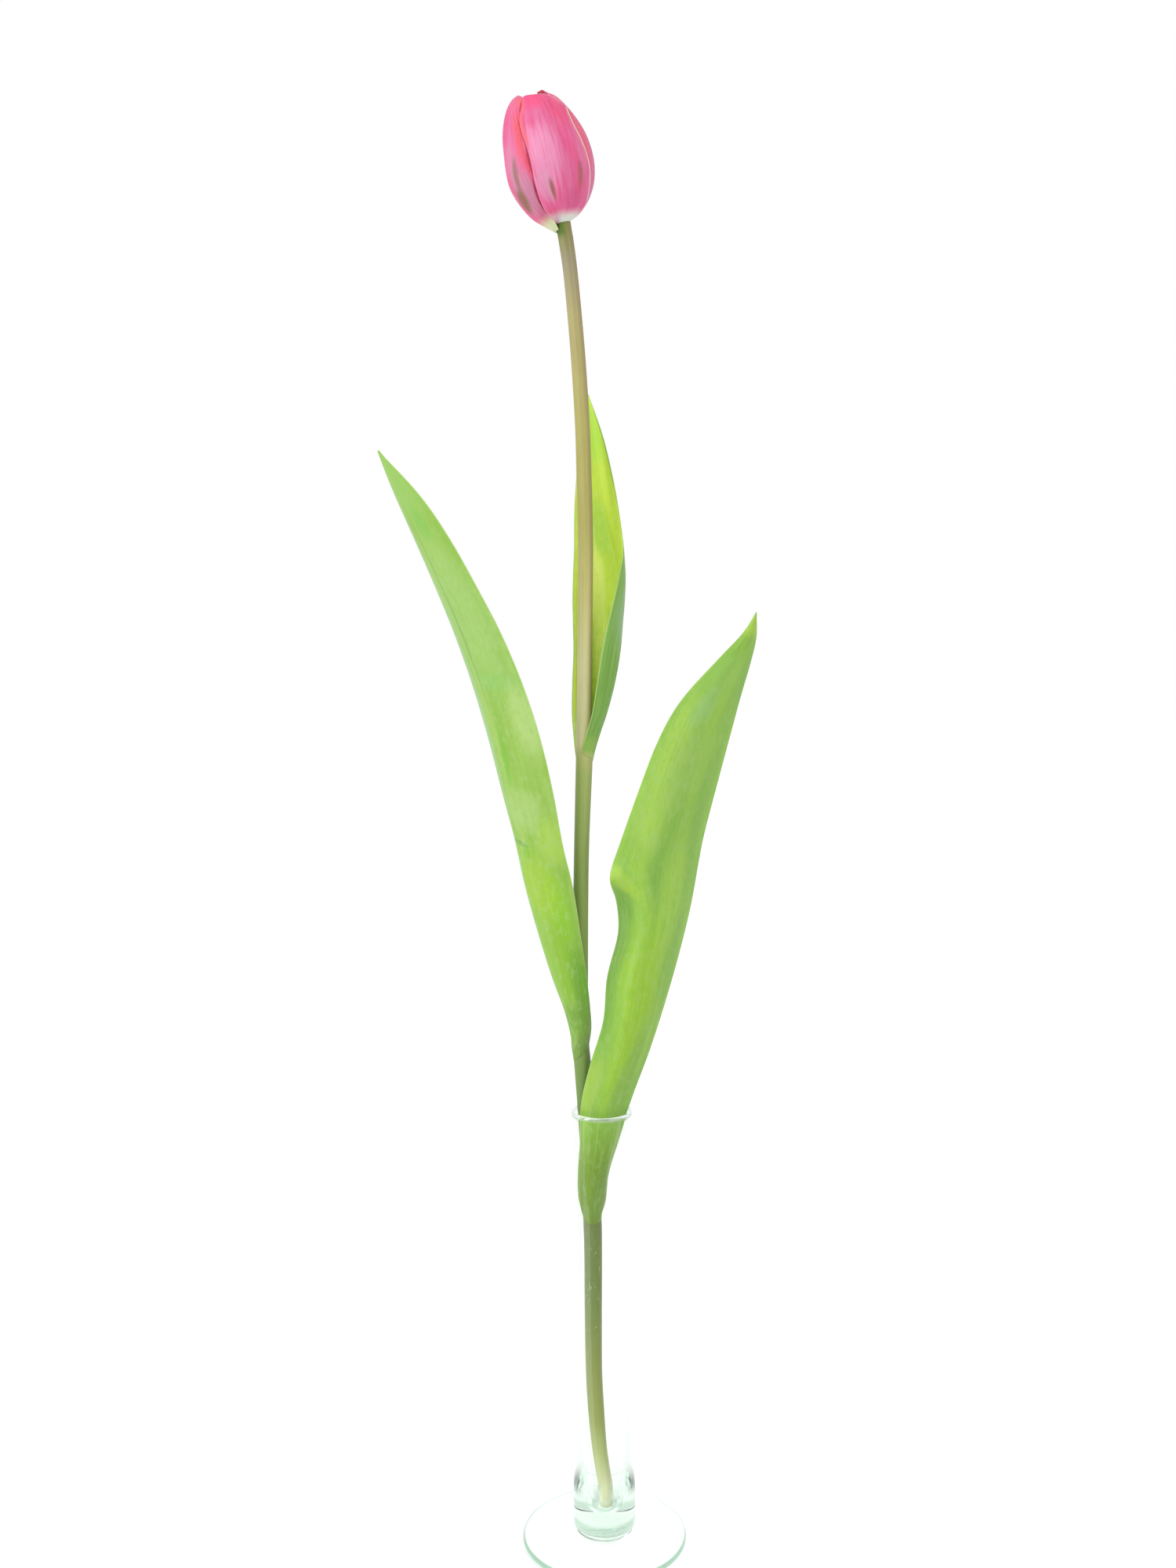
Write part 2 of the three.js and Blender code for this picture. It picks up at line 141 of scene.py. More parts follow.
def within(value: float, span: Span) -> float:
    """Rises to 1 over the first two places of a span and falls to 0 over its last two."""
    return smooth(value, span[0], span[1]) * (1 - smooth(value, span[2], span[3]))


def colour(red: int, green: int, blue: int) -> Colour:
    """Turns a screen colour into a shader's colour.

    Args:
        red: The red part, from 0 to 255.
        green: The green part.
        blue: The blue part.

    Returns:
        The linear colour, with an alpha of 1.
    """
    def linear(part: int) -> float:
        """Undoes the screen's curve for one part."""
        share = part / 255
        return share / 12.92 if share <= 0.04045 else ((share + 0.055) / 1.055) ** 2.4

    return linear(red), linear(green), linear(blue), 1.0


def seen(red: int, green: int, blue: int, sheen: float = SHEEN) -> Colour:
    """Finds the surface colour that looks like a screen colour in the studio's light.

    The light makes a surface LIT times as bright as its own colour.

    Args:
        red: The red part as it is seen, from 0 to 255.
        green: The green part.
        blue: The blue part.
        sheen: What the reflected white of the surround adds, more (VEIL) behind the glass.

    Returns:
        The surface's own linear colour.
    """
    own = [max((part - sheen) / LIT, 0.002) for part in colour(red, green, blue)[:3]]
    return own[0], own[1], own[2], 1.0


class Shade:
    """A shader socket that takes part in Python expressions, each operator a Math node."""

    def __init__(self, paint: "Paint", socket: bpy.types.NodeSocket) -> None:
        """Keeps the socket and the paint that it belongs to."""
        self.paint = paint
        self.socket = socket

    def __add__(self, other: "Shade | float") -> "Shade":
        """Adds."""
        return self.paint.math("ADD", self, other)

    __radd__ = __add__

    def __mul__(self, other: "Shade | float") -> "Shade":
        """Multiplies."""
        return self.paint.math("MULTIPLY", self, other)

    __rmul__ = __mul__

    def __sub__(self, other: "Shade | float") -> "Shade":
        """Subtracts."""
        return self.paint.math("SUBTRACT", self, other)

    def __rsub__(self, other: float) -> "Shade":
        """Subtracts this from a number."""
        return self.paint.math("SUBTRACT", other, self)

    def __truediv__(self, other: "Shade | float") -> "Shade":
        """Divides."""
        return self.paint.math("DIVIDE", self, other)

    def __abs__(self) -> "Shade":
        """Drops the sign."""
        return self.paint.math("ABSOLUTE", self)

    def rise(self, low: float, high: float) -> "Shade":
        """Rises smoothly from 0 to 1, or falls where low is the larger.

        Args:
            low: Where the rise starts.
            high: Where it ends.

        Returns:
            The share, from 0 to 1.
        """
        return self.paint.node(
            "ShaderNodeMapRange", {"interpolation_type": "SMOOTHSTEP"},
            {"Value": self, "From Min": low, "From Max": high},
        )

    def within(self, start: float, full: float, last: float, end: float) -> "Shade":
        """Rises smoothly from 0 at start to 1 at full, and falls from last to 0 at end."""
        return self.rise(start, full) * self.rise(end, last)

    def root(self) -> "Shade":
        """Takes the square root."""
        return self.paint.math("SQRT", self)


class Paint:
    """A node tree, and the expressions that are drawn on it."""

    def __init__(self, owner: bpy.types.Material | bpy.types.World) -> None:
        """Empties a tree.

        Args:
            owner: The material or the surround that the tree belongs to.
        """
        self.owner = owner
        owner.use_nodes = True
        self.tree = owner.node_tree
        self.tree.nodes.clear()

    @classmethod
    def named(cls, name: str) -> "Paint":
        """Starts a new material of that name."""
        return cls(bpy.data.materials.new(name))

    def node(self, kind: str, settings: dict, sockets: dict, output: int | str = 0) -> Shade:
        """Adds any node.

        Args:
            kind: The node's type.
            settings: Its settings, set first. A ramp's stops are (place, colour) pairs.
            sockets: The value or the link of each input, by name or number.
            output: The output that is handed back.

        Returns:
            That output.
        """
        made = self.tree.nodes.new(kind)
        for key, value in settings.items():
            if key == "stops":
                self.set_stops(made.color_ramp, value)
            else:
                setattr(made, key, value)
        for key, value in sockets.items():
            if isinstance(value, Shade):
                self.tree.links.new(value.socket, made.inputs[key])
            else:
                made.inputs[key].default_value = value
        return Shade(self, made.outputs[output])

    @staticmethod
    def set_stops(ramp: bpy.types.ColorRamp, stops: Sequence[tuple[float, Colour]]) -> None:
        """Sets a ramp's stops.

        Args:
            ramp: The ramp, which has two stops when it is new.
            stops: The place and the colour of each stop.
        """
        while len(ramp.elements) < len(stops):
            ramp.elements.new(1.0)
        for element, (place, tone) in zip(ramp.elements, stops):
            element.position = place
            element.color = tone

    def math(self, operation: str, *terms: "Shade | float") -> Shade:
        """Adds a Math node on one or two terms."""
        return self.node("ShaderNodeMath", {"operation": operation}, dict(enumerate(terms)))

    def mix(self, share: Shade, low: Shade | Colour, high: Shade | Colour) -> Shade:
        """Mixes two colours, with that share of the second one."""
        return self.node("ShaderNodeMix", {"data_type": "RGBA"}, {0: share, 6: low, 7: high}, 2)

    def coats(self, tone: Shade | Colour, *coats: tuple[Shade, Shade | Colour]) -> Shade:
        """Lays thin coats of colour over a tone, one after the other.

        Args:
            tone: The colour below.
            *coats: How much of each coat shows, and its colour.

        Returns:
            The colour on top.
        """
        for share, coat in coats:
            tone = self.mix(share, tone, coat)
        return tone

    def ramp(self, value: Shade, stops: Sequence[tuple[float, Colour]]) -> Shade:
        """Reads a colour from a ramp with smooth steps."""
        return self.node("ShaderNodeValToRGB", {"stops": stops}, {"Fac": value})

    def read(self, layer: str) -> Shade:
        """Reads the places that a piece carries in one of its layers."""
        return self.node("ShaderNodeAttribute", {"attribute_name": layer}, {}, "Vector")

    def place(self) -> Shade:
        """Reads the place in the object's frame, in metres."""
        return self.node("ShaderNodeTexCoord", {}, {}, "Object")

    def axes(self, vector: Shade) -> tuple[Shade, Shade, Shade]:
        """Splits a vector.

        Args:
            vector: The vector.

        Returns:
            Its three numbers.
        """
        split = self.node("ShaderNodeSeparateXYZ", {}, {0: vector})
        outputs = split.socket.node.outputs
        return split, Shade(self, outputs[1]), Shade(self, outputs[2])

    def stretch(self, vector: Shade, scale: Sequence[float]) -> Shade:
        """Multiplies a vector's numbers one by one."""
        settings = {"operation": "MULTIPLY"}
        return self.node("ShaderNodeVectorMath", settings, {0: vector, 1: scale})

    def noise(self, vector: Shade, scale: Sequence[float], detail: float = 2.0,
              rough: float = 0.5) -> Shade:
        """Reads soft noise, finer along the axes with the larger scale.

        Args:
            vector: The place.
            scale: How often the noise varies along each axis.
            detail: How many finer layers there are.
            rough: How strong these are.

        Returns:
            The noise, about 0.5 at its middle.
        """
        return self.node("ShaderNodeTexNoise", {}, {
            "Vector": self.stretch(vector, scale), "Scale": 1.0,
            "Detail": detail, "Roughness": rough,
        })

    def bump(self, height: Shade, distance: float, strength: float) -> Shade:
        """Turns a height into a normal.

        Args:
            height: The height, from 0 to 1.
            distance: How far a height of 1 stands out, in metres.
            strength: How much of it shows.

        Returns:
            The normal.
        """
        sockets = {"Height": height, "Distance": distance, "Strength": strength}
        return self.node("ShaderNodeBump", {}, sockets)

    def finish(self, sockets: dict, volume: Shade | None = None) -> bpy.types.Material:
        """Closes the tree with a Principled shader.

        Args:
            sockets: The value or the link of each of its inputs.
            volume: What fills the piece, if light goes through it.

        Returns:
            The material.
        """
        shader = self.node("ShaderNodeBsdfPrincipled", {}, sockets)
        output = self.tree.nodes.new("ShaderNodeOutputMaterial")
        self.tree.links.new(shader.socket, output.inputs["Surface"])
        if volume is not None:
            self.tree.links.new(volume.socket, output.inputs["Volume"])
        return self.owner


class Edge(Enum):
    """A margin of a blade, as seen on its outer face with the tip up."""

    LEFT = 0
    RIGHT = 1


@dataclass(frozen=True)
class Band:
    """A band of colour along a margin.

    Its width is a share of the blade's width, and it runs from low to high along the blade,
    with soft ends. Of its width, the core keeps the full colour, and the fray is how far
    streaks break its inner edge.
    """

    edge: Edge
    width: float
    tone: Colour
    strength: float = 1.0
    low: float = -0.2
    high: float = 1.2
    soft: float = 0.06
    core: float = 0.45
    fray: float = 0.7

    def mask(self, s: Shade, t: Shade, rough: Shade) -> Shade:
        """Draws how much of the band shows.

        Args:
            s: The place across the blade.
            t: The place along it.
            rough: Streaky noise that breaks the band's inner edge.

        Returns:
            The mask, from 0 to its strength.
        """
        inwards = s if self.edge is Edge.LEFT else 1 - s
        frayed = inwards + (rough - 0.5) * (self.width * self.fray)
        ends = t.within(
            self.low - self.soft, self.low + self.soft, self.high - self.soft,
            self.high + self.soft,
        )
        return frayed.rise(self.width, self.width * self.core) * ends * self.strength


@dataclass(frozen=True)
class Patch:
    """A soft spot of colour on a blade.

    Across is in the blade's own measure: the share of a leaf's width, or degrees round the
    bud for a petal. Lean is how far the spot drifts across from its lower to its upper end,
    ragged breaks its outline, and the core is the share of it that keeps the full colour.
    """

    across: float
    along: float
    half_width: float
    half_length: float
    tone: Colour
    strength: float = 1.0
    lean: float = 0.0
    ragged: float = 0.0
    core: float = 0.35

    def mask(self, across: Shade, t: Shade, rough: Shade) -> Shade:
        """Draws how much of the patch shows.

        Args:
            across: The place across the blade.
            t: The place along it.
            rough: Streaky noise that breaks the outline.

        Returns:
            The mask, from 0 to its strength.
        """
        up = (t - self.along) / self.half_length
        over = (across - self.across - up * (self.lean / 2)) / self.half_width
        reach = (up * up + over * over).root()
        if self.ragged:
            reach = reach + (rough - 0.5) * self.ragged
        return reach.rise(1.0, self.core) * self.strength


@dataclass(frozen=True)
class LeafFinish:
    """The green of a leaf: parallel veins, a waxy bloom and pale thin margins with painted rim
    light.
    """

    name: str
    patches: tuple[Patch, ...] = ()
    bands: tuple[Band, ...] = ()
    back_patches: tuple[Patch, ...] = ()
    blade: Colour = seen(158, 202, 82)
    deep: Colour = seen(136, 184, 80)
    glow: Colour = seen(172, 212, 92)
    waxy: Colour = seen(168, 204, 128)
    back: Colour = seen(116, 165, 80)
    back_glow: Colour = seen(134, 182, 98)
    # The thin edge's paler green, partly painted rim light.
    margin: Colour = seen(206, 226, 160)
    veins: float = 46.0
    wander: float = 2.2

    def material(self) -> bpy.types.Material:
        """Draws the leaf's material, which reads across, along and face from the grain.

        Returns:
            The material.
        """
        paint = Paint.named(self.name)
        grain = paint.read(GRAIN)
        s, t, face = paint.axes(grain)
        broad = paint.noise(grain, (5.0, 5.5, 3.0), detail=3.0)
        streak = paint.noise(grain, (30.0, 3.5, 5.0), detail=3.0, rough=0.6)
        fine = paint.noise(grain, (110.0, 9.0, 7.0), rough=0.6)
        mottle = paint.noise(paint.place(), (520.0, 520.0, 300.0), detail=3.0, rough=0.65)
        calm = t.rise(1.0, 0.72)
        vein = self.vein_lines(paint, s, fine)

        marks = [(mark.mask(s, t, streak), mark.tone) for mark in (*self.patches, *self.bands)]
        front = paint.coats(
            paint.mix(broad.rise(0.36, 0.66), self.deep, self.blade), *marks,
            (streak.rise(0.45, 0.7) * 0.34 * calm, self.glow),
            (streak.rise(0.5, 0.3) * 0.28 * calm, self.deep),
            (mottle.rise(0.48, 0.7) * 0.36 * calm, self.waxy),
            (mottle.rise(0.5, 0.3) * 0.36 * calm, self.deep),
        )
        marks = [(mark.mask(s, t, streak), mark.tone) for mark in self.back_patches]
        behind = paint.coats(
            paint.mix(streak.rise(0.4, 0.65), self.back, self.back_glow), *marks,
        )
        tone = paint.coats(
            front,
            (face.rise(0.3, 0.8), behind),
            (vein * calm * 0.07, self.glow),
            # Along both margins: partly the paler thin edge, partly painted rim light.
            (abs(s - 0.5).rise(0.486, 0.499) * 0.7, self.margin),
        )
        height = (vein * 0.35 + fine * 0.5 + streak * 0.6) * calm
        return paint.finish({
            "Base Color": tone,
            "Roughness": 0.42 + mottle * 0.14 + streak * 0.08,
            "Normal": paint.bump(height, distance=0.00014, strength=0.7),
            "Specular IOR Level": 0.35,
            "Subsurface Weight": 0.2,
            "Subsurface Radius": (0.5, 1.0, 0.15),
            "Subsurface Scale": 0.0012,
        })

    def vein_lines(self, paint: Paint, s: Shade, wander: Shade) -> Shade:
        """Draws the fine veins that run side by side from base to tip."""
        turn = s * (self.veins * 2 * math.pi) + wander * self.wander
        return paint.math("SINE", turn) * 0.5 + 0.5


@dataclass(frozen=True)
class TepalFinish:
    """The pink of a petal: fine streaks, a pale base, warm margins and a few olive marks."""

    name: str
    patches: tuple[Patch, ...] = ()
    bands: tuple[Band, ...] = ()
    rose: Colour = seen(236, 98, 146)
    lilac: Colour = seen(234, 140, 184)
    deep: Colour = seen(228, 66, 118)
    base: Colour = seen(236, 240, 230)
    inside: Colour = seen(240, 112, 112)
    base_end: float = 0.16

    def material(self) -> bpy.types.Material:
        """Draws the petal's material on its grain and on the flow round the bud.

        Returns:
            The material.
        """
        paint = Paint.named(self.name)
        s, _, face = paint.axes(paint.read(GRAIN))
        flow = paint.read(FLOW)
        turn, t, _ = paint.axes(flow)
        broad = paint.noise(flow, (0.045, 2.2, 3.0), detail=3.0, rough=0.55)
        streak = paint.noise(flow, (0.24, 2.4, 3.0), detail=3.0, rough=0.65)
        fine = paint.noise(flow, (0.9, 7.0, 3.0), detail=3.0, rough=0.65)
        speck = paint.noise(paint.place(), (1500.0, 1500.0, 1100.0), detail=3.0, rough=0.65)
        foot = (t + (streak - 0.5) * 0.05).rise(self.base_end, self.base_end * 0.3)

        tone = paint.coats(
            self.rose,
            (broad.rise(0.36, 0.64) * 0.5, self.lilac),
            *((patch.mask(turn, t, streak), patch.tone) for patch in self.patches),
            (streak.rise(0.46, 0.66) * 0.3, self.deep),
            (streak.rise(0.48, 0.3) * 0.35, self.lilac),
            (fine.rise(0.46, 0.66) * 0.28, self.lilac),
            (fine.rise(0.48, 0.32) * 0.18, self.deep),
            (speck.rise(0.45, 0.7) * 0.16, self.lilac),
            (foot, self.base),
            *((band.mask(s, t, streak), band.tone) for band in self.bands),
            (face.rise(0.3, 0.9) * 0.8, self.inside),
        )
        height = fine * 0.6 + streak * 0.9 + broad * 0.8
        return paint.finish({
            "Base Color": tone,
            "Roughness": 0.45 + streak * 0.12 + speck * 0.06,
            "Normal": paint.bump(height, distance=0.00024, strength=0.7),
            "Specular IOR Level": 0.3,
            "Subsurface Weight": 0.2,
            "Subsurface Radius": (1.0, 0.35, 0.5),
            "Subsurface Scale": 0.001,
        })


@dataclass(frozen=True)
class StemFinish:
    """The stem's skin: olive brown above the upper leaf, green below it, cream at the cut.

    Pale scuffs lie where it rubs on the glass. Its right side is darker, painted shade away from
    the key light, and its shoulder under the bud is a dark green at the left, partly its own
    green and partly painted shade under the petals' bases. These heights are in metres, and
    the ramp's are in millimetres.
    """

    name: str = "stem_skin"
    height: float = 0.52
    scuffed: Span = (0.07, 0.082, 0.11, 0.122)
    brown: Slope = (0.27, 0.33)
    shoulder: Slope = (0.4652, 0.4685)
    ramp: tuple[tuple[float, Colour], ...] = (
        (12.0, seen(236, 236, 200, VEIL)), (22.0, seen(222, 226, 180, VEIL)),
        (30.0, seen(196, 206, 142, VEIL)), (45.0, seen(158, 170, 96, VEIL)),
        (61.0, seen(149, 160, 92, VEIL)), (93.0, seen(120, 140, 80, VEIL)),
        (122.0, seen(112, 130, 74, VEIL)), (156.0, seen(116, 146, 70, VEIL)),
        (165.0, seen(118, 150, 78)), (215.0, seen(142, 168, 86)), (262.0, seen(166, 186, 106)),
        # The pale stops from 293 to 318 mm are partly the stem's own paler skin and partly painted
        # light, lifting the shade of the upper leaf's flank.
        (282.0, seen(176, 192, 112)), (289.0, seen(196, 198, 126)), (293.0, seen(226, 222, 166)),
        (318.0, seen(228, 222, 168)), (344.0, seen(204, 196, 126)), (370.0, seen(184, 176, 100)),
        (400.0, seen(186, 178, 102)), (440.0, seen(180, 170, 114)), (458.0, seen(160, 150, 122)),
        # The dark olive at the top is partly the skin's own green and partly painted shade under
        # the petals' bases.
        (469.0, seen(132, 138, 60)), (473.0, seen(112, 132, 34)),
    )
    # The blush is the stem's pinkish-brown tint and, on its right side, also painted shade; the
    # darker green is painted shade on the right below and the colour of the dark lengthwise lines.
    blush_and_shade: Colour = seen(160, 138, 100)
    shade_and_dark_lines: Colour = seen(134, 148, 90)
    pale: Colour = seen(224, 216, 172)
    # Partly the skin's own green, partly painted shade at the left of the shoulder.
    sap_and_shade: Colour = seen(92, 122, 14)

    def material(self) -> bpy.types.Material:
        """Draws the stem's material, which reads round and height from the grain.

        Returns:
            The material.
        """
        paint = Paint.named(self.name)
        grain = paint.read(GRAIN)
        across, _, high = paint.axes(grain)
        stops = tuple((mm * MM / self.height, tone) for mm, tone in self.ramp)
        lines = paint.noise(grain, (7.0, 7.0, 14.0), detail=3.0, rough=0.6)
        skin = paint.noise(grain, (26.0, 26.0, 160.0), detail=3.0, rough=0.6)
        blotch = paint.noise(grain, (1.5, 1.5, 45.0))
        scratch = paint.noise(grain, (5.0, 5.0, 420.0), rough=0.7)
        scuffs = scratch.rise(0.62, 0.68) * high.within(*self.scuffed)
        upper = high.rise(*self.brown)
        # Painted shade: the right side, away from the key light, is darkened.
        right = across.rise(0.25, 0.95)
        left = across.rise(0.1, -0.4)

        tone = paint.coats(
            paint.ramp(high / self.height, stops),
            (right * upper * 0.6, self.blush_and_shade),
            (right * (1 - upper) * 0.3, self.shade_and_dark_lines),
            (lines.rise(0.45, 0.7) * 0.22 * upper, self.pale),
            (lines.rise(0.5, 0.3) * 0.2, self.shade_and_dark_lines),
            (blotch.rise(0.5, 0.7) * 0.15 * upper, self.blush_and_shade),
            (skin.rise(0.5, 0.75) * 0.12, self.pale),
            # Painted shade, partly the skin's own green, on the left of the shoulder under the bud.
            (high.rise(*self.shoulder) * left, self.sap_and_shade),
            (scuffs * 0.6, self.pale),
        )
        height = lines * 0.8 + skin * 0.4 + scuffs * 0.5
        return paint.finish({
            "Base Color": tone,
            "Roughness": 0.38 + skin * 0.16,
            "Normal": paint.bump(height, distance=0.00014, strength=0.7),
            "Specular IOR Level": 0.4,
            "Subsurface Weight": 0.15,
            "Subsurface Radius": (1.0, 0.9, 0.4),
            "Subsurface Scale": 0.001,
        })


@dataclass(frozen=True)
class GlassFinish:
    """Clear glass with a faint green tint that shows where it is thick, in bands.

    The foot's underside and the thin wall of the tube are mostly see-through, because light
    that bounces along inside would otherwise be lost. The foot's edge, the lip itself and
    two bands of the base are painted green in the base colour, standing for the light that
    has come a long way through the glass there: the belt round the outside and the bowl of
    the cavity. The foot's edge is painted greener at the front than at the back. Heights and
    radii are in metres, and each share is how much of the green a place shows.
    """

    name: str = "vase_glass"
    tint: Colour = colour(170, 226, 190)
    edge: Colour = colour(120, 166, 136)
    density: float = 13.0
    bend: float = 1.3
    lip_bend: float = 2.2
    thin: float = 0.08
    underside: Slope = (0.0002, 0.00005)
    underside_radius: Slope = (0.0095, 0.0115)
    wall: Slope = (0.016, 0.026)
    lip: Slope = (0.1590, 0.1598)
    lip_share: float = 0.45
    foot_radius: Slope = (0.0290, 0.0296)
    foot_nearness: Slope = (0.016, -0.012)
    foot_far_share: float = 0.35
    belt: Span = (0.0060, 0.0070, 0.0090, 0.0108)
    belt_radius: Slope = (0.0095, 0.0103)
    belt_share: float = 0.65
    bowl: Span = (0.0110, 0.0116, 0.0130, 0.0180)
    bowl_radius: Span = (0.0018, 0.0036, 0.0071, 0.0075)
    bowl_share: float = 0.55

    def material(self) -> bpy.types.Material:
        """Draws the glass, with the soft waves of drawn tube in its surface.

        Returns:
            The material.
        """
        paint = Paint.named(self.name)
        place = paint.place()
        aside, ahead, high = paint.axes(place)
        radius = (aside * aside + ahead * ahead).root()
        waves = paint.noise(place, (160.0, 160.0, 24.0))
        ripple = paint.noise(place, (60.0, 60.0, 150.0), detail=1.0)
        film = paint.noise(place, (90.0, 90.0, 60.0), detail=3.0)
        lip = high.rise(*self.lip)
        under = high.rise(*self.underside) * radius.rise(*self.underside_radius)
        clear = high.rise(*self.wall) * (1 - lip) + under
        # Painted: the foot's edge shows more green at the front than at the back.
        near = ahead.rise(*self.foot_nearness)
        foot = self.foot_far_share + (1 - self.foot_far_share) * near
        belt = high.within(*self.belt) * radius.rise(*self.belt_radius)
        bowl = high.within(*self.bowl) * radius.within(*self.bowl_radius)
        green = radius.rise(*self.foot_radius) * foot + lip * self.lip_share
        green = green + belt * self.belt_share + bowl * self.bowl_share
        volume = paint.node(
            "ShaderNodeVolumeAbsorption", {}, {"Color": self.tint, "Density": self.density},
        )
        return paint.finish({
            "Base Color": paint.mix(green, WHITE, self.edge),
            "Roughness": film.rise(0.55, 0.8) * 0.03,
            "Normal": paint.bump(waves + ripple * 0.5, distance=0.00035, strength=0.5),
            "Alpha": 1 - clear * (1 - self.thin),
            "Transmission Weight": 1.0,
            "IOR": self.bend,
            "Coat Weight": lip,
            "Coat IOR": self.lip_bend,
        }, volume)


@dataclass(frozen=True)
class HeartFinish:
    """The soft matte skin of the pistil or of the stamens, with heights in metres."""

    name: str
    low: Colour
    high: Colour
    foot: float
    top: float

    def material(self) -> bpy.types.Material:
        """Draws the skin, whose colour turns from the foot to the top.

        Returns:
            The material.
        """
        paint = Paint.named(self.name)
        place = paint.place()
        high = paint.axes(place)[2]
        dust = paint.noise(place, (2400.0, 2400.0, 2400.0), detail=3.0, rough=0.7)
        tone = paint.coats(
            self.low,
            (high.rise(self.foot, self.top), self.high),
            (dust.rise(0.5, 0.8) * 0.3, self.high),
        )
        return paint.finish({
            "Base Color": tone,
            "Roughness": 0.7 + dust * 0.25,
            "Normal": paint.bump(dust, distance=0.0002, strength=0.8),
        })


def put(name: str, data: bpy.types.ID) -> bpy.types.Object:
    """Puts a new object into the scene.

    Args:
        name: Its name.
        data: Its mesh, its lamp or its camera.

    Returns:
        The object.
    """
    made = bpy.data.objects.new(name, data)
    bpy.context.scene.collection.objects.link(made)
    return made


def put_mesh(maker: bmesh.types.BMesh, name: str, material: bpy.types.Material) -> bpy.types.Object:
    """Turns a finished bmesh into an object.

    Args:
        maker: The mesh, which is used up.
        name: The object's name.
        material: Its material.

    Returns:
        The object.
    """
    mesh = bpy.data.meshes.new(name)
    maker.to_mesh(mesh)
    maker.free()
    mesh.materials.append(material)
    return put(name, mesh)


def dress(maker: bmesh.types.BMesh, name: str, material: bpy.types.Material,
          nodes: Iterable[str], levels: int = 1) -> bpy.types.Object:
    """Turns a finished bmesh into a piece that rides with the part.

    Args:
        maker: The closed mesh, in metres.
        name: The piece's name.
        material: Its material.
        nodes: The solids that it stands for.
        levels: How often it is subdivided.

    Returns:
        The piece.
    """
    bmesh.ops.recalc_face_normals(maker, faces=maker.faces)
    piece = put_mesh(maker, name, material)
    piece.data.shade_smooth()
    if levels:
        rounding = piece.modifiers.new("rounding", "SUBSURF")
        rounding.levels = levels
        rounding.render_levels = levels
    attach(piece, BODY)
    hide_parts(*nodes)
    log.info("%s: %d faces before rounding", name, len(piece.data.polygons))
    return piece


def turned(outline: Iterable[Sequence[float]], steps: int) -> bmesh.types.BMesh:
    """Spins an outline once round the upright axis.

    Args:
        outline: The (radius, height) of each of its points.
        steps: Faces round the axis.

    Returns:
        The turned mesh.
    """
    maker = bmesh.new()
    corners = [maker.verts.new((radius, 0.0, height)) for radius, height in outline]
    edges = [maker.edges.new(pair) for pair in zip(corners, corners[1:])]
    bmesh.ops.spin(
        maker, geom=corners + edges, cent=(0, 0, 0), axis=(0, 0, 1), angle=2 * math.pi,
        steps=steps, use_merge=True,
    )
    return maker


def extrude_ring(maker: bmesh.types.BMesh, edges: list[bmesh.types.BMEdge]) -> tuple[
        list[bmesh.types.BMVert], list[bmesh.types.BMEdge]]:
    """Extrudes a ring of edges, not moved yet.

    Args:
        maker: The mesh.
        edges: The ring's edges.

    Returns:
        The new ring's vertices and edges.
    """
    made = bmesh.ops.extrude_edge_only(maker, edges=edges)["geom"]
    corners = [part for part in made if isinstance(part, bmesh.types.BMVert)]
    return corners, [part for part in made if isinstance(part, bmesh.types.BMEdge)]


def blade_mesh(place: Callable[[float, float], Vector], half: Callable[[float, float], float],
               flow: Callable[[float, float], Vector], rows: int,
               columns: int) -> bmesh.types.BMesh:
    """Builds a closed blade from two shaped grids that are bridged round their rim.

    Args:
        place: The middle surface in millimetres, from (along 0 to 1, across -1 to 1).
        half: Half the thickness there, in millimetres.
        flow: What the pattern on the blade follows there.
        rows: Faces along the blade.
        columns: Faces across it.

    Returns:
        The blade, with its grain: across, along, and 1 on the inner face.
    """
    nudge = 0.002
    maker = bmesh.new()
    grain = maker.verts.layers.float_vector.new(GRAIN)
    stream = maker.verts.layers.float_vector.new(FLOW)
    for inner in (0.0, 1.0):
        made = bmesh.ops.create_grid(maker, x_segments=columns, y_segments=rows, size=1.0)
        for vertex in made["verts"]:
            v, u = vertex.co.x, (vertex.co.y + 1) / 2
            along = place(min(u + nudge, 1.0), v) - place(max(u - nudge, 0.0), v)
            across = place(u, min(v + nudge, 1.0)) - place(u, max(v - nudge, -1.0))
            normal = across.cross(along).normalized()
            away = half(u, v) * (1 - 2 * inner)
            vertex.co = (place(u, v) + normal * away) * MM
            vertex[grain] = ((v + 1) / 2, u, inner)
            vertex[stream] = flow(u, v)
    rim = [edge for edge in maker.edges if edge.is_boundary]
    bmesh.ops.bridge_loops(maker, edges=rim)
    return maker


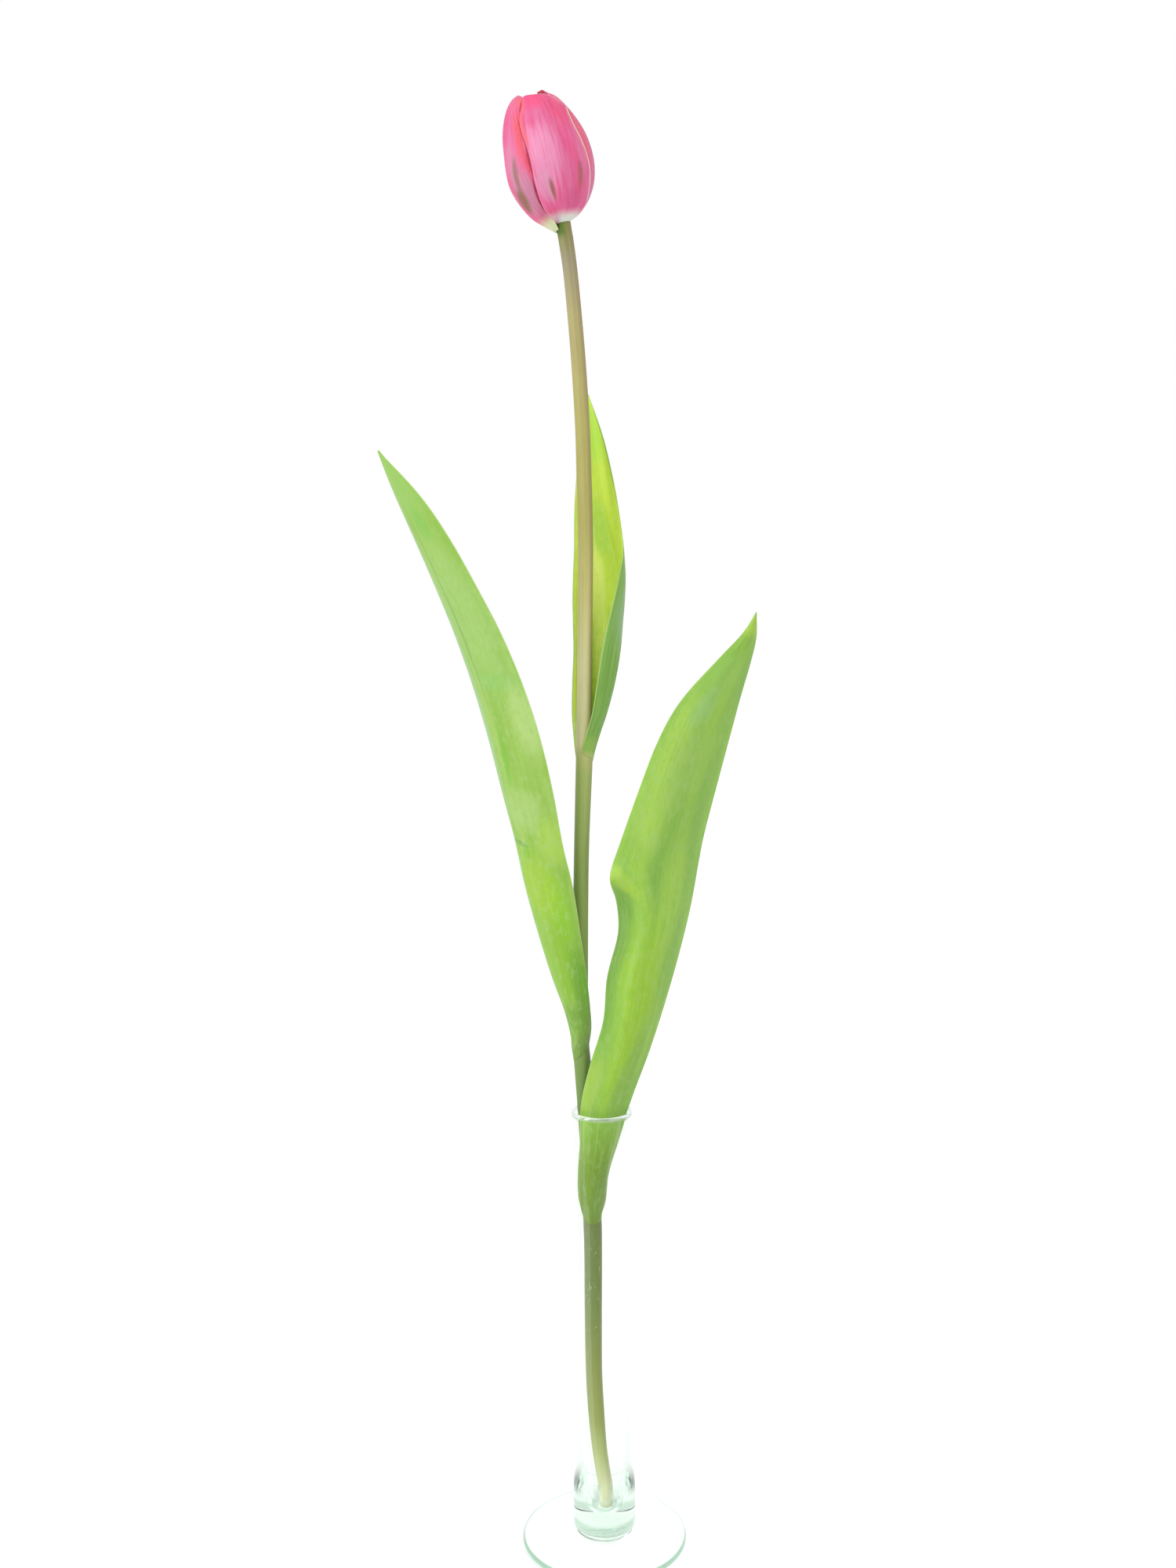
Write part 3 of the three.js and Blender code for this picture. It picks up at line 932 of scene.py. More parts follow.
@dataclass
class Stem:
    """The stem from its cut end to the swollen top that carries the petals.

    Each station of the route is its centre's x, y and z and its radius. A station of the top
    is a height above the bloom's base and a radius. The cut end is a little hollow.
    """

    route: Rows = (
        (0.8, 0.2, 12.4, 2.4), (0.6, 0.2, 18, 2.7), (-0.6, 0.3, 26, 2.7), (-1.8, 0.5, 35, 2.8),
        (-2.8, 0.7, 48, 3), (-3.5, 1, 63, 3.05), (-3.6, 1.2, 85, 3.2), (-3.5, 1.3, 107, 3.3),
        (-3.7, 1.4, 120, 3.4), (-4.4, 1.4, 136, 3.2), (-5.6, 1.1, 158, 3.05),
        (-6.8, 0.7, 177, 3.1), (-7.6, 0.4, 188, 3.05), (-7.5, 0.1, 208, 2.9), (-6.8, 0, 250, 2.7),
        (-5.9, 0, 276, 2.9), (-5.4, 0, 290, 3), (-5.2, 0, 312, 2.7), (-4.8, 0, 339, 2.7),
        (-4.5, 0, 366, 2.7), (-4.9, 0, 388, 2.65), (-5.3, 0, 404, 2.6), (-6.7, 0, 428, 2.55),
        (-8.8, 0, 453, 2.5), (-10.35, 0, 465, 2.6),
    )
    top: Rows = (
        (-2.8, 2.6), (-1.3, 2.7), (-0.1, 2.8), (0.6, 2.5), (1.2, 1.9), (2.8, 1.3), (6, 0.9),
    )
    sides: int = 24
    rings_per_station: int = 5
    end_insets: tuple[float, ...] = (0.14, 0.5)
    cut_hollow: float = 0.35
    finish: StemFinish = field(default_factory=StemFinish)

    def __post_init__(self) -> None:
        """Works out the rings from the cut end upwards."""
        crown = [(*BLOOM.on_axis(height), radius) for height, radius in self.top]
        stations = [*self.route, *crown]
        steps = (len(stations) - 1) * self.rings_per_station
        self.rings = [spline(stations, i / steps) for i in range(steps + 1)]
        self.heights = [ring[2] for ring in self.rings]

    def at(self, height: float) -> list[float]:
        """Finds the stem's centre and radius at a height.

        Args:
            height: The height in millimetres.

        Returns:
            The centre's x and y and the radius.
        """
        k = min(max(bisect.bisect(self.heights, height), 1), len(self.rings) - 1)
        low, high = self.rings[k - 1], self.rings[k]
        share = (height - low[2]) / (high[2] - low[2])
        x, y, _, radius = (a + (b - a) * share for a, b in zip(low, high))
        return [x, y, radius]

    def ring_matrix(self, i: int) -> Matrix:
        """Lays a unit circle on a ring, square to the stem.

        Args:
            i: The ring's number from the cut end.

        Returns:
            The matrix that does so.
        """
        last = len(self.rings) - 1
        ahead, behind = self.rings[min(i + 1, last)], self.rings[max(i - 1, 0)]
        along = Vector(ahead[:3]) - Vector(behind[:3])
        x, y, z, radius = self.rings[i]
        turn = Vector((0, 0, 1)).rotation_difference(along).to_matrix().to_4x4()
        return Matrix.Translation(Vector((x, y, z)) * MM) @ turn @ Matrix.Scale(radius * MM, 4)

    def build(self) -> bpy.types.Object:
        """Extrudes a circle ring by ring and closes both ends.

        Returns:
            The piece.
        """
        maker = bmesh.new()
        grain = maker.verts.layers.float_vector.new(GRAIN)
        ring = bmesh.ops.create_circle(maker, segments=self.sides, radius=1.0)["verts"]
        for vertex in ring:
            vertex[grain] = (vertex.co.x, vertex.co.y, self.heights[0] * MM)
        edges = list(maker.edges)
        matrix = self.ring_matrix(0)
        bmesh.ops.transform(maker, matrix=matrix, verts=ring)
        self.close(maker, edges, grain, self.cut_hollow)
        for i in range(1, len(self.rings)):
            ring, edges = extrude_ring(maker, edges)
            ahead = self.ring_matrix(i)
            bmesh.ops.transform(maker, matrix=ahead @ matrix.inverted(), verts=ring)
            matrix = ahead
            for vertex in ring:
                vertex[grain] = (*vertex[grain][:2], self.heights[i] * MM)
        self.close(maker, edges, grain, 0.0)
        return dress(maker, "flower_stem", self.finish.material(), ["stem"])

    def close(self, maker: bmesh.types.BMesh, edges: list[bmesh.types.BMEdge],
              grain: bmesh.types.BMLayerItem, lift: float) -> None:
        """Closes an end of the stem.

        Args:
            maker: The mesh.
            edges: The end's ring of edges.
            grain: The layer that holds the grain.
            lift: How far the middle of the end is lifted, in millimetres.
        """
        face = bmesh.ops.contextual_create(maker, geom=edges)["faces"][0]
        radius = (face.verts[0].co - face.calc_center_median()).length
        for share in self.end_insets:
            bmesh.ops.inset_region(maker, faces=[face], thickness=radius * share)
        centre = bmesh.ops.poke(maker, faces=[face])["verts"][0]
        centre.co.z += lift * MM
        centre[grain] = (0.0, 0.0, centre.co.z)


@dataclass
class Bloom:
    """Where the bud stands on the stem, and how it tips and nods to the left."""

    base: Point = (-11.5, 0.0, 471.0)
    tilt: float = 12.5
    length: float = 43.0
    nod: float = 1.05

    def on_axis(self, height: float) -> Vector:
        """Gives the point on the bloom's axis at a height above its base."""
        return self.place(Vector((0.0, 0.0, height)))

    def round_axis(self, radius: float, angle: float, height: float) -> Vector:
        """Finds a point round the nodding bud.

        Args:
            radius: Its distance from the bud's axis, in millimetres.
            angle: Its angle from the front towards the right, in radians.
            height: Its height above the bloom's base, in millimetres.

        Returns:
            The point in millimetres.
        """
        bent = -self.nod * (height / self.length) ** 4
        x, y = radius * math.sin(angle), -radius * math.cos(angle)
        return self.place(Vector((bent + x, y, height)))

    def place(self, point: Vector) -> Vector:
        """Moves a point from the bloom's own upright frame to its place on the stem."""
        tipped = Matrix.Rotation(-math.radians(self.tilt), 3, "Y") @ point
        return Vector(self.base) + tipped


BLOOM = Bloom()


@dataclass(frozen=True)
class Swell:
    """A soft rise of a blade's surface towards the front, or back where depth is negative."""

    across: float
    along: float
    half_width: float
    half_length: float
    depth: float

    def at(self, s: float, t: float) -> float:
        """Finds the rise at a place on the blade.

        Args:
            s: The place across the blade, from 0 to 1.
            t: The place along it.

        Returns:
            The rise in millimetres.
        """
        over = (s - self.across) / self.half_width
        up = (t - self.along) / self.half_length
        return self.depth * math.exp(-over * over - up * up)


@dataclass
class Leaf:
    """A leaf, curved across through its two margins and its middle, clasping the stem.

    A narrow channel runs along its middle. The flat is the share of its half width that
    keeps the full thickness. The seat is how far the blade sinks into the stem.
    """

    node: str
    left: Rows
    middle: Rows
    right: Rows
    finish: LeafFinish
    swells: tuple[Swell, ...] = ()
    rows_per_station: int = 6
    columns: int = 28
    thickness: float = 0.7
    rim: float = 0.22
    flat: float = 0.7
    channel: float = 0.35
    channel_width: float = 0.09
    channel_run: Span = (0.1, 0.3, 0.8, 1.0)
    seat: float = 0.05
    vase_top: float = 161.0
    vase_mouth: float = 9.4

    def place(self, stem: Stem, u: float, v: float) -> Vector:
        """Gives the middle surface.

        Args:
            stem: The stem that the leaf clasps.
            u: The place along the leaf, from 0 to 1.
            v: The place across it, from -1 to 1.

        Returns:
            The point in millimetres.
        """
        point = Vector(spline(self.left, u)) * ((v * v - v) / 2)
        point += Vector(spline(self.middle, u)) * (1 - v * v)
        point += Vector(spline(self.right, u)) * ((v * v + v) / 2)
        s = (v + 1) / 2
        rise = sum(swell.at(s, u) for swell in self.swells)
        channel = self.channel * math.exp(-((v / self.channel_width) ** 2))
        point.y += channel * within(u, self.channel_run) - rise
        return self.keep_clear(stem, point, self.half(u, v))

    def keep_clear(self, stem: Stem, point: Vector, half: float) -> Vector:
        """Keeps a point of the middle surface outside the stem and inside the vase.

        Args:
            stem: The stem that the leaf clasps.
            point: The point in millimetres.
            half: Half the leaf's thickness there.

        Returns:
            The point, moved level where it was too near the stem or the glass.
        """
        x, y, radius = stem.at(point.z)
        off = Vector((point.x - x, point.y - y))
        nearest = radius + half - self.seat
        if off.length < nearest:
            off.length = nearest
        flat = off + Vector((x, y))
        room = self.vase_mouth - self.thickness / 2
        if point.z < self.vase_top + 1 and flat.length > room:
            flat.length = room
        return Vector((flat.x, flat.y, point.z))

    def half(self, u: float, v: float) -> float:
        """Finds half the thickness, which thins towards the margins and both ends.

        Args:
            u: The place along the leaf, from 0 to 1.
            v: The place across it, from -1 to 1.

        Returns:
            Half the thickness in millimetres.
        """
        thin = smooth(abs(v), self.flat, 1.0)
        ends = min(smooth(u, -0.02, 0.05), smooth(1 - u, -0.04, 0.06))
        full = self.thickness * (1 - thin) + self.rim * thin
        return max(full * ends, self.rim / 2) / 2

    def build(self, stem: Stem) -> bpy.types.Object:
        """Builds the leaf.

        Args:
            stem: The stem that it clasps.

        Returns:
            The piece.
        """
        rows = (len(self.left) - 1) * self.rows_per_station
        maker = blade_mesh(
            lambda u, v: self.place(stem, u, v), self.half, lambda u, v: Vector((v, u, 0)),
            rows, self.columns,
        )
        return dress(maker, self.node + "_blade", self.finish.material(), [self.node])


BUD_PROFILE: Rows = (
    (3.0, 0.2), (6.4, 1.8), (9.9, 4.6), (13.0, 9.9), (14.6, 15.5), (15.0, 21.0), (14.3, 26.8),
    (12.9, 32.0), (10.9, 37.0), (8.0, 41.5), (4.4, 44.2),
)
FRONT_PROFILE: Rows = ((2.8, -0.1), (6.2, 1.7), *BUD_PROFILE[2:])
RIGHT_PROFILE: Rows = (
    (2.8, 0.8), (5.9, 2.5), (9.6, 5.3), (12.9, 10.1), *BUD_PROFILE[4:7], (12.7, 32.0),
    (10.4, 37.0), (7.3, 41.6), (3.6, 44.4),
)
LEFT_PROFILE: Rows = (
    (2.75, -2.2), (6.6, 1.3), (10.1, 4.9), (13.1, 10.5), (14.75, 16.0), (14.7, 21.5),
    (14.0, 27.0), (13.0, 32.3), (10.9, 37.6), (8.0, 41.8), (4.2, 44.2),
)


@dataclass
class Tepal:
    """A petal on the bud's profile.

    Margins holds its left and right edges, as angles from the front at even steps from base
    to tip. It covers the profile from start to end, as shares. Tucked edges slip under a
    neighbour, and a layer lies inside the one before it. Each wave across it is a height, a
    pace and a shift, and a groove runs along its middle. The core is the nearest that it
    comes to the bud's axis, and the flat is the share of its half width that keeps the full
    thickness. Its number sets its pattern.
    """

    node: str
    margins: Rows
    finish: TepalFinish
    profile: Rows = BUD_PROFILE
    tucked: tuple[Edge, ...] = ()
    layer: int = 0
    lifts: tuple[Swell, ...] = ()
    start: float = 0.0
    end: float = 1.0
    number: int = 0
    rows: int = 44
    columns: int = 32
    thickness: float = 0.6
    rim: float = 0.24
    flat: float = 0.8
    core: float = 0.3
    layer_step: float = 2.6
    tuck_depth: float = 1.5
    tuck_across: Slope = (0.45, 0.85)
    tuck_start: float = 0.15
    ribs: float = 0.12
    ribs_run: Span = (0.05, 0.25, 0.75, 0.98)
    waves: Rows = ((1.0, 9.2, 0.6), (0.6, 17.0, -1.1))
    groove: float = 1.6
    groove_width: float = 0.07

    def place(self, u: float, v: float) -> Vector:
        """Gives the middle surface.

        Args:
            u: The place along the petal, from 0 to 1.
            v: The place across it, from -1 to 1.

        Returns:
            The point in millimetres.
        """
        t = self.start + (self.end - self.start) * u
        radius, height = spline(self.profile, t)
        out, up = self.slope(t)
        inwards = self.layer * self.layer_step + self.tuck(t, v) - self.relief(u, v)
        r = max(radius - up * inwards, self.core)
        lift = sum(swell.at((v + 1) / 2, t) for swell in self.lifts)
        return BLOOM.round_axis(r, math.radians(self.turn(u, v)), height + out * inwards + lift)

    def turn(self, u: float, v: float) -> float:
        """Gives the angle from the front towards the right, in degrees."""
        left, right = spline(self.margins, u)
        return (left + right) / 2 + v * (right - left) / 2

    def slope(self, t: float) -> tuple[float, float]:
        """Finds the direction in which the profile runs.

        Args:
            t: The place along the profile.

        Returns:
            How far it goes outwards and upwards, as parts of one.
        """
        nudge = 0.01
        ahead, behind = spline(self.profile, t + nudge), spline(self.profile, t - nudge)
        run = Vector((ahead[0] - behind[0], ahead[1] - behind[1])).normalized()
        return run.x, run.y

    def tuck(self, t: float, v: float) -> float:
        """Finds how far a tucked edge lies under its neighbour.

        Args:
            t: The place along the profile.
            v: The place across the petal, from -1 to 1.

        Returns:
            The depth in millimetres.
        """
        edge = Edge.LEFT if v < 0 else Edge.RIGHT
        if edge not in self.tucked:
            return 0.0
        onset = math.sin(math.pi / 2 * min(t / self.tuck_start, 1.0))
        return smooth(abs(v), *self.tuck_across) * onset * self.tuck_depth

    def relief(self, u: float, v: float) -> float:
        """Finds how far the low ribs along the petal stand out, which fade at its ends.

        Args:
            u: The place along the petal, from 0 to 1.
            v: The place across it, from -1 to 1.

        Returns:
            The relief in millimetres.
        """
        waves = sum(height * math.cos(v * pace + shift) for height, pace, shift in self.waves)
        groove = self.groove * math.exp(-((v / self.groove_width) ** 2))
        return self.ribs * within(u, self.ribs_run) * (waves - groove) / 2

    def half(self, u: float, v: float) -> float:
        """Gives half the thickness, which thins towards the margins."""
        thin = smooth(abs(v), self.flat, 1.0)
        return (self.thickness * (1 - thin) + self.rim * thin) / 2

    def build(self) -> bpy.types.Object:
        """Builds the petal in its place on the bud.

        Returns:
            The piece.
        """
        def flow(u: float, v: float) -> Vector:
            """Gives the degrees round the bud, the share along it and the petal's number."""
            return Vector((self.turn(u, v), self.start + (self.end - self.start) * u, self.number))

        maker = blade_mesh(self.place, self.half, flow, self.rows, self.columns)
        return dress(maker, self.node + "_petal", self.finish.material(), [self.node])


@dataclass
class Vase:
    """The bud vase: one turned piece of clear glass."""

    foot: Rows = (
        (0, 0), (10, 0), (28.4, 0), (29.2, 0.03), (29.65, 0.18), (29.92, 0.5), (30, 0.9),
        (30, 1.3), (29.9, 1.72), (29.62, 2.02), (29.2, 2.17), (28.4, 2.22), (24.5, 2.5),
        (20, 2.9), (16, 3.3), (12.5, 3.7), (10.6, 4), (9.85, 4.3),
    )
    wall: Rows = (
        (9.85, 4.3), (10.3, 4.75), (10.85, 5.55), (11.2, 6.6), (11.3, 8.2), (11.3, 30),
        (11.3, 62), (10.9, 110), (10.5, 146), (10.5, 153), (10.75, 157), (11.0, 159.2),
    )
    lip: Rows = (
        (11.1, 159.9), (11.08, 160.4), (10.85, 160.85), (10.5, 161), (10.1, 160.88), (9.8, 160.5),
        (9.6, 159.8), (9.5, 159),
    )
    cavity: Rows = (
        (9.5, 159), (9.4, 150), (9.65, 112), (9.8, 72), (9.5, 56), (8.7, 44), (7.5, 34),
        (6.4, 25), (5.6, 18.5), (4.9, 14.2), (3.9, 12.2), (2.4, 11.25), (1.2, 11.03), (0, 11),
    )
    steps: int = 128
    finish: GlassFinish = field(default_factory=GlassFinish)

    def outline(self) -> list[list[float]]:
        """Joins the outline's stretches, each smooth in itself.

        Returns:
            The radius and the height of each point.
        """
        points: list[list[float]] = [list(point) for point in self.foot]
        for stretch, per_station in ((self.wall, 3), (self.lip, 1), (self.cavity, 3)):
            steps = (len(stretch) - 1) * per_station
            points += [spline(stretch, i / steps) for i in range(steps + 1)]
        return points

    def build(self) -> bpy.types.Object:
        """Spins the outline once round and closes it on the axis.

        Clear glass hardly dims the light on what stands in it, so the vase casts no shadow.

        Returns:
            The piece.
        """
        outline = [(max(radius, 0.0) * MM, height * MM) for radius, height in self.outline()]
        maker = turned(outline, self.steps)
        bmesh.ops.remove_doubles(maker, verts=maker.verts, dist=1e-6)
        piece = dress(maker, "bud_vase", self.finish.material(), ["vase"], 0)
        piece.visible_shadow = False
        return piece


@dataclass
class Heart:
    """The pistil and the stamens that the bud closes round, in the bloom's own frame."""

    ovary: Rows = (
        (0, 6.6), (1.4, 6.6), (1.7, 8), (2, 11), (2.3, 16), (2.1, 19.5), (1.7, 22), (0, 23),
    )
    ovary_sides: int = 18
    lobes: int = 3
    lobe_radius: float = 1.5
    lobe_form: Point = (1.3, 0.7, 0.8)
    lobe_at: Point = (1.3, 0, 22.5)
    stamens: int = 6
    filament: float = 0.6
    filament_route: Rows = ((0.9, 7.6), (2.4, 9.6), (3.6, 12), (4.2, 14), (4.4, 16))
    anther: float = 1.1
    anther_breadth: float = 1.15
    anther_length: float = 8.0
    anther_foot: float = 14.6
    pistil_finish: HeartFinish = HeartFinish(
        "pistil_skin", colour(170, 190, 110), colour(232, 226, 160), 0.478, 0.494,
    )
    stamen_finish: HeartFinish = HeartFinish(
        "pollen_skin", colour(226, 214, 150), colour(206, 160, 52), 0.483, 0.488,
    )

    def build(self) -> list[bpy.types.Object]:
        """Builds the pistil and the ring of stamens."""
        return [self.build_pistil(), self.build_stamens()]

    def build_pistil(self) -> bpy.types.Object:
        """Spins the ovary and adds the lobes of the stigma.

        Returns:
            The piece.
        """
        maker = turned(self.ovary, self.ovary_sides)
        for k in range(self.lobes):
            lobe = bmesh.ops.create_uvsphere(
                maker, u_segments=12, v_segments=8, radius=self.lobe_radius,
            )["verts"]
            bmesh.ops.scale(maker, vec=self.lobe_form, verts=lobe)
            bmesh.ops.translate(maker, vec=self.lobe_at, verts=lobe)
            self.turn(maker, lobe, k / self.lobes)
        bmesh.ops.remove_doubles(maker, verts=maker.verts, dist=1e-4)
        return self.seat(maker, "pistil", self.pistil_finish)

    def build_stamens(self) -> bpy.types.Object:
        """Builds each stamen as a bent filament with a long anther, set round the axis.

        Returns:
            The piece.
        """
        maker = bmesh.new()
        route = self.filament_route
        half = self.anther_length / 2
        for k in range(self.stamens):
            ring = bmesh.ops.create_circle(
                maker, segments=8, radius=self.filament, cap_ends=True,
            )["verts"]
            stamen = list(ring)
            edges = [edge for edge in maker.edges if all(v in ring for v in edge.verts)]
            bmesh.ops.translate(maker, vec=(route[0][0], 0, route[0][1]), verts=ring)
            for (x0, z0), (x1, z1) in zip(route, route[1:]):
                ring, edges = extrude_ring(maker, edges)
                bmesh.ops.translate(maker, vec=(x1 - x0, 0, z1 - z0), verts=ring)
                stamen += ring
            bmesh.ops.contextual_create(maker, geom=edges)
            anther = bmesh.ops.create_uvsphere(
                maker, u_segments=12, v_segments=10, radius=self.anther,
            )["verts"]
            form = (1.0, self.anther_breadth, half / self.anther)
            bmesh.ops.scale(maker, vec=form, verts=anther)
            place = (route[-1][0], 0, self.anther_foot + half)
            bmesh.ops.translate(maker, vec=place, verts=anther)
            self.turn(maker, stamen + anther, (k + 0.5) / self.stamens)
        return self.seat(maker, "stamens", self.stamen_finish)

    def turn(self, maker: bmesh.types.BMesh, corners: list[bmesh.types.BMVert],
             share: float) -> None:
        """Turns some vertices round the axis by a share of a full turn."""
        matrix = Matrix.Rotation(2 * math.pi * share, 3, "Z")
        bmesh.ops.rotate(maker, cent=(0, 0, 0), matrix=matrix, verts=corners)

    def seat(self, maker: bmesh.types.BMesh, name: str, finish: HeartFinish) -> bpy.types.Object:
        """Sets a finished mesh on the bloom's axis and dresses it.

        Args:
            maker: The mesh, in millimetres in the bloom's frame.
            name: The piece's name.
            finish: Its finish.

        Returns:
            The piece.
        """
        for vertex in maker.verts:
            vertex.co = BLOOM.place(vertex.co) * MM
        return dress(maker, name, finish.material(), ["stamens_and_pistil"])


LEAF_LOWER = Leaf(
    node="leaf_lower",
    left=(
        (-7.3, 1.2, 121.5), (-8.8, 0.6, 129), (-8.9, -1, 138), (-8, -3, 151), (-7.5, -3.8, 164.5),
        (-4, -5, 179.5), (0.5, -6, 194.5), (2, -5, 210), (6, -2.5, 225), (5.4, -5, 237),
        (3, -10.5, 247), (6.8, -10, 259), (13, -8.5, 276), (20, -8.5, 294), (28, -8.5, 308),
        (40.8, -8, 322), (49.5, -7.5, 331), (54.3, -6.3, 338.2),
    ),
    middle=(
        (-3.6, -2, 119), (-3.9, -3.8, 128), (-2.5, -5.8, 138), (-0.7, -7.1, 151.5),
        (1.5, -8.2, 165.5), (7, -10, 181), (12, -11.5, 197), (14.8, -12, 213), (18.6, -11.5, 228),
        (19.8, -11.5, 239.5), (20.3, -12, 249), (22.5, -11.5, 260.5), (27.6, -10.5, 278),
        (33.3, -10, 295), (39.3, -9.5, 308.5), (47, -9, 321.8), (52, -8, 330.7),
        (54.4, -6.3, 338.5),
    ),
    right=(
        (-0.6, 1.6, 121), (1.2, 1.2, 127), (2.4, -0.4, 138), (6.4, -2, 151.5), (10.7, -2, 165.5),
        (16.9, -1.5, 182), (22.4, -0.5, 198.5), (27.3, 0.5, 215), (31.2, 1.5, 230), (33.5, 2, 241),
        (35.1, 2.5, 250), (37.3, 2.5, 261), (42, 2.5, 279), (46.2, 2, 295), (49.7, 1, 308.5),
        (53.1, -2, 321.5), (54.7, -4, 330), (54.5, -6, 338.2),
    ),
    swells=(
        Swell(0.0, 0.45, 0.17, 0.12, -2.6), Swell(0.02, 0.595, 0.2, 0.022, 1.4),
        Swell(0.3, 0.46, 0.12, 0.16, 0.8), Swell(0.2, 0.655, 0.25, 0.04, -0.7),
        Swell(0.75, 0.5, 0.2, 0.3, -0.4),
    ),
    finish=LeafFinish(
        "lower_leaf_skin",
        patches=(
            Patch(0.9, 0.6, 0.3, 0.3, seen(142, 188, 88), 0.6, ragged=0.7),
            Patch(0.26, 0.73, 0.34, 0.17, seen(170, 208, 92), 0.75, ragged=0.8),
            Patch(0.48, 0.37, 0.34, 0.18, seen(162, 206, 52), 0.7, ragged=0.8),
            Patch(0.68, 0.53, 0.2, 0.16, seen(168, 210, 90), 0.8, ragged=0.8),
            # Painted light round the fold in the left margin: shade on the curled strip and in the
            # hollows below and above the bulge.
            Patch(0.03, 0.44, 0.14, 0.19, seen(130, 176, 88), 0.9, ragged=0.3),
            Patch(0.12, 0.525, 0.1, 0.05, seen(120, 168, 78), 0.7, lean=-0.12),
            Patch(0.16, 0.632, 0.2, 0.034, seen(138, 184, 62), 0.5, lean=-0.2, ragged=0.3),
            # Painted highlight on the ridge of the bulge.
            Patch(0.13, 0.575, 0.13, 0.05, seen(180, 216, 80), 0.65, lean=-0.32),
            Patch(0.03, 0.595, 0.1, 0.02, seen(182, 214, 92), 0.6),
            Patch(0.32, 0.86, 0.3, 0.05, seen(136, 186, 76), 0.6, ragged=0.8),
            Patch(0.5, 0.965, 0.9, 0.04, seen(176, 210, 86), 0.8, ragged=0.4),
            Patch(0.45, 0.86, 0.4, 0.05, seen(156, 200, 104), 0.6, ragged=0.9),
            Patch(0.5, 0.73, 0.3, 0.06, seen(162, 200, 106), 0.6, ragged=0.9),
            Patch(0.42, 0.81, 0.22, 0.04, seen(156, 200, 124), 0.7, ragged=0.9),
            Patch(0.12, 0.26, 0.26, 0.06, seen(170, 200, 84), 0.6, ragged=0.4),
            Patch(0.7, 0.27, 0.2, 0.1, seen(132, 174, 84), 0.5, ragged=0.5),
            Patch(0.5, 0.05, 1.6, 0.19, seen(116, 144, 50, VEIL), 0.95, ragged=0.5),
            Patch(0.75, 0.06, 0.4, 0.1, seen(122, 150, 76, VEIL), 0.8, ragged=0.6),
        ),
    ),
)

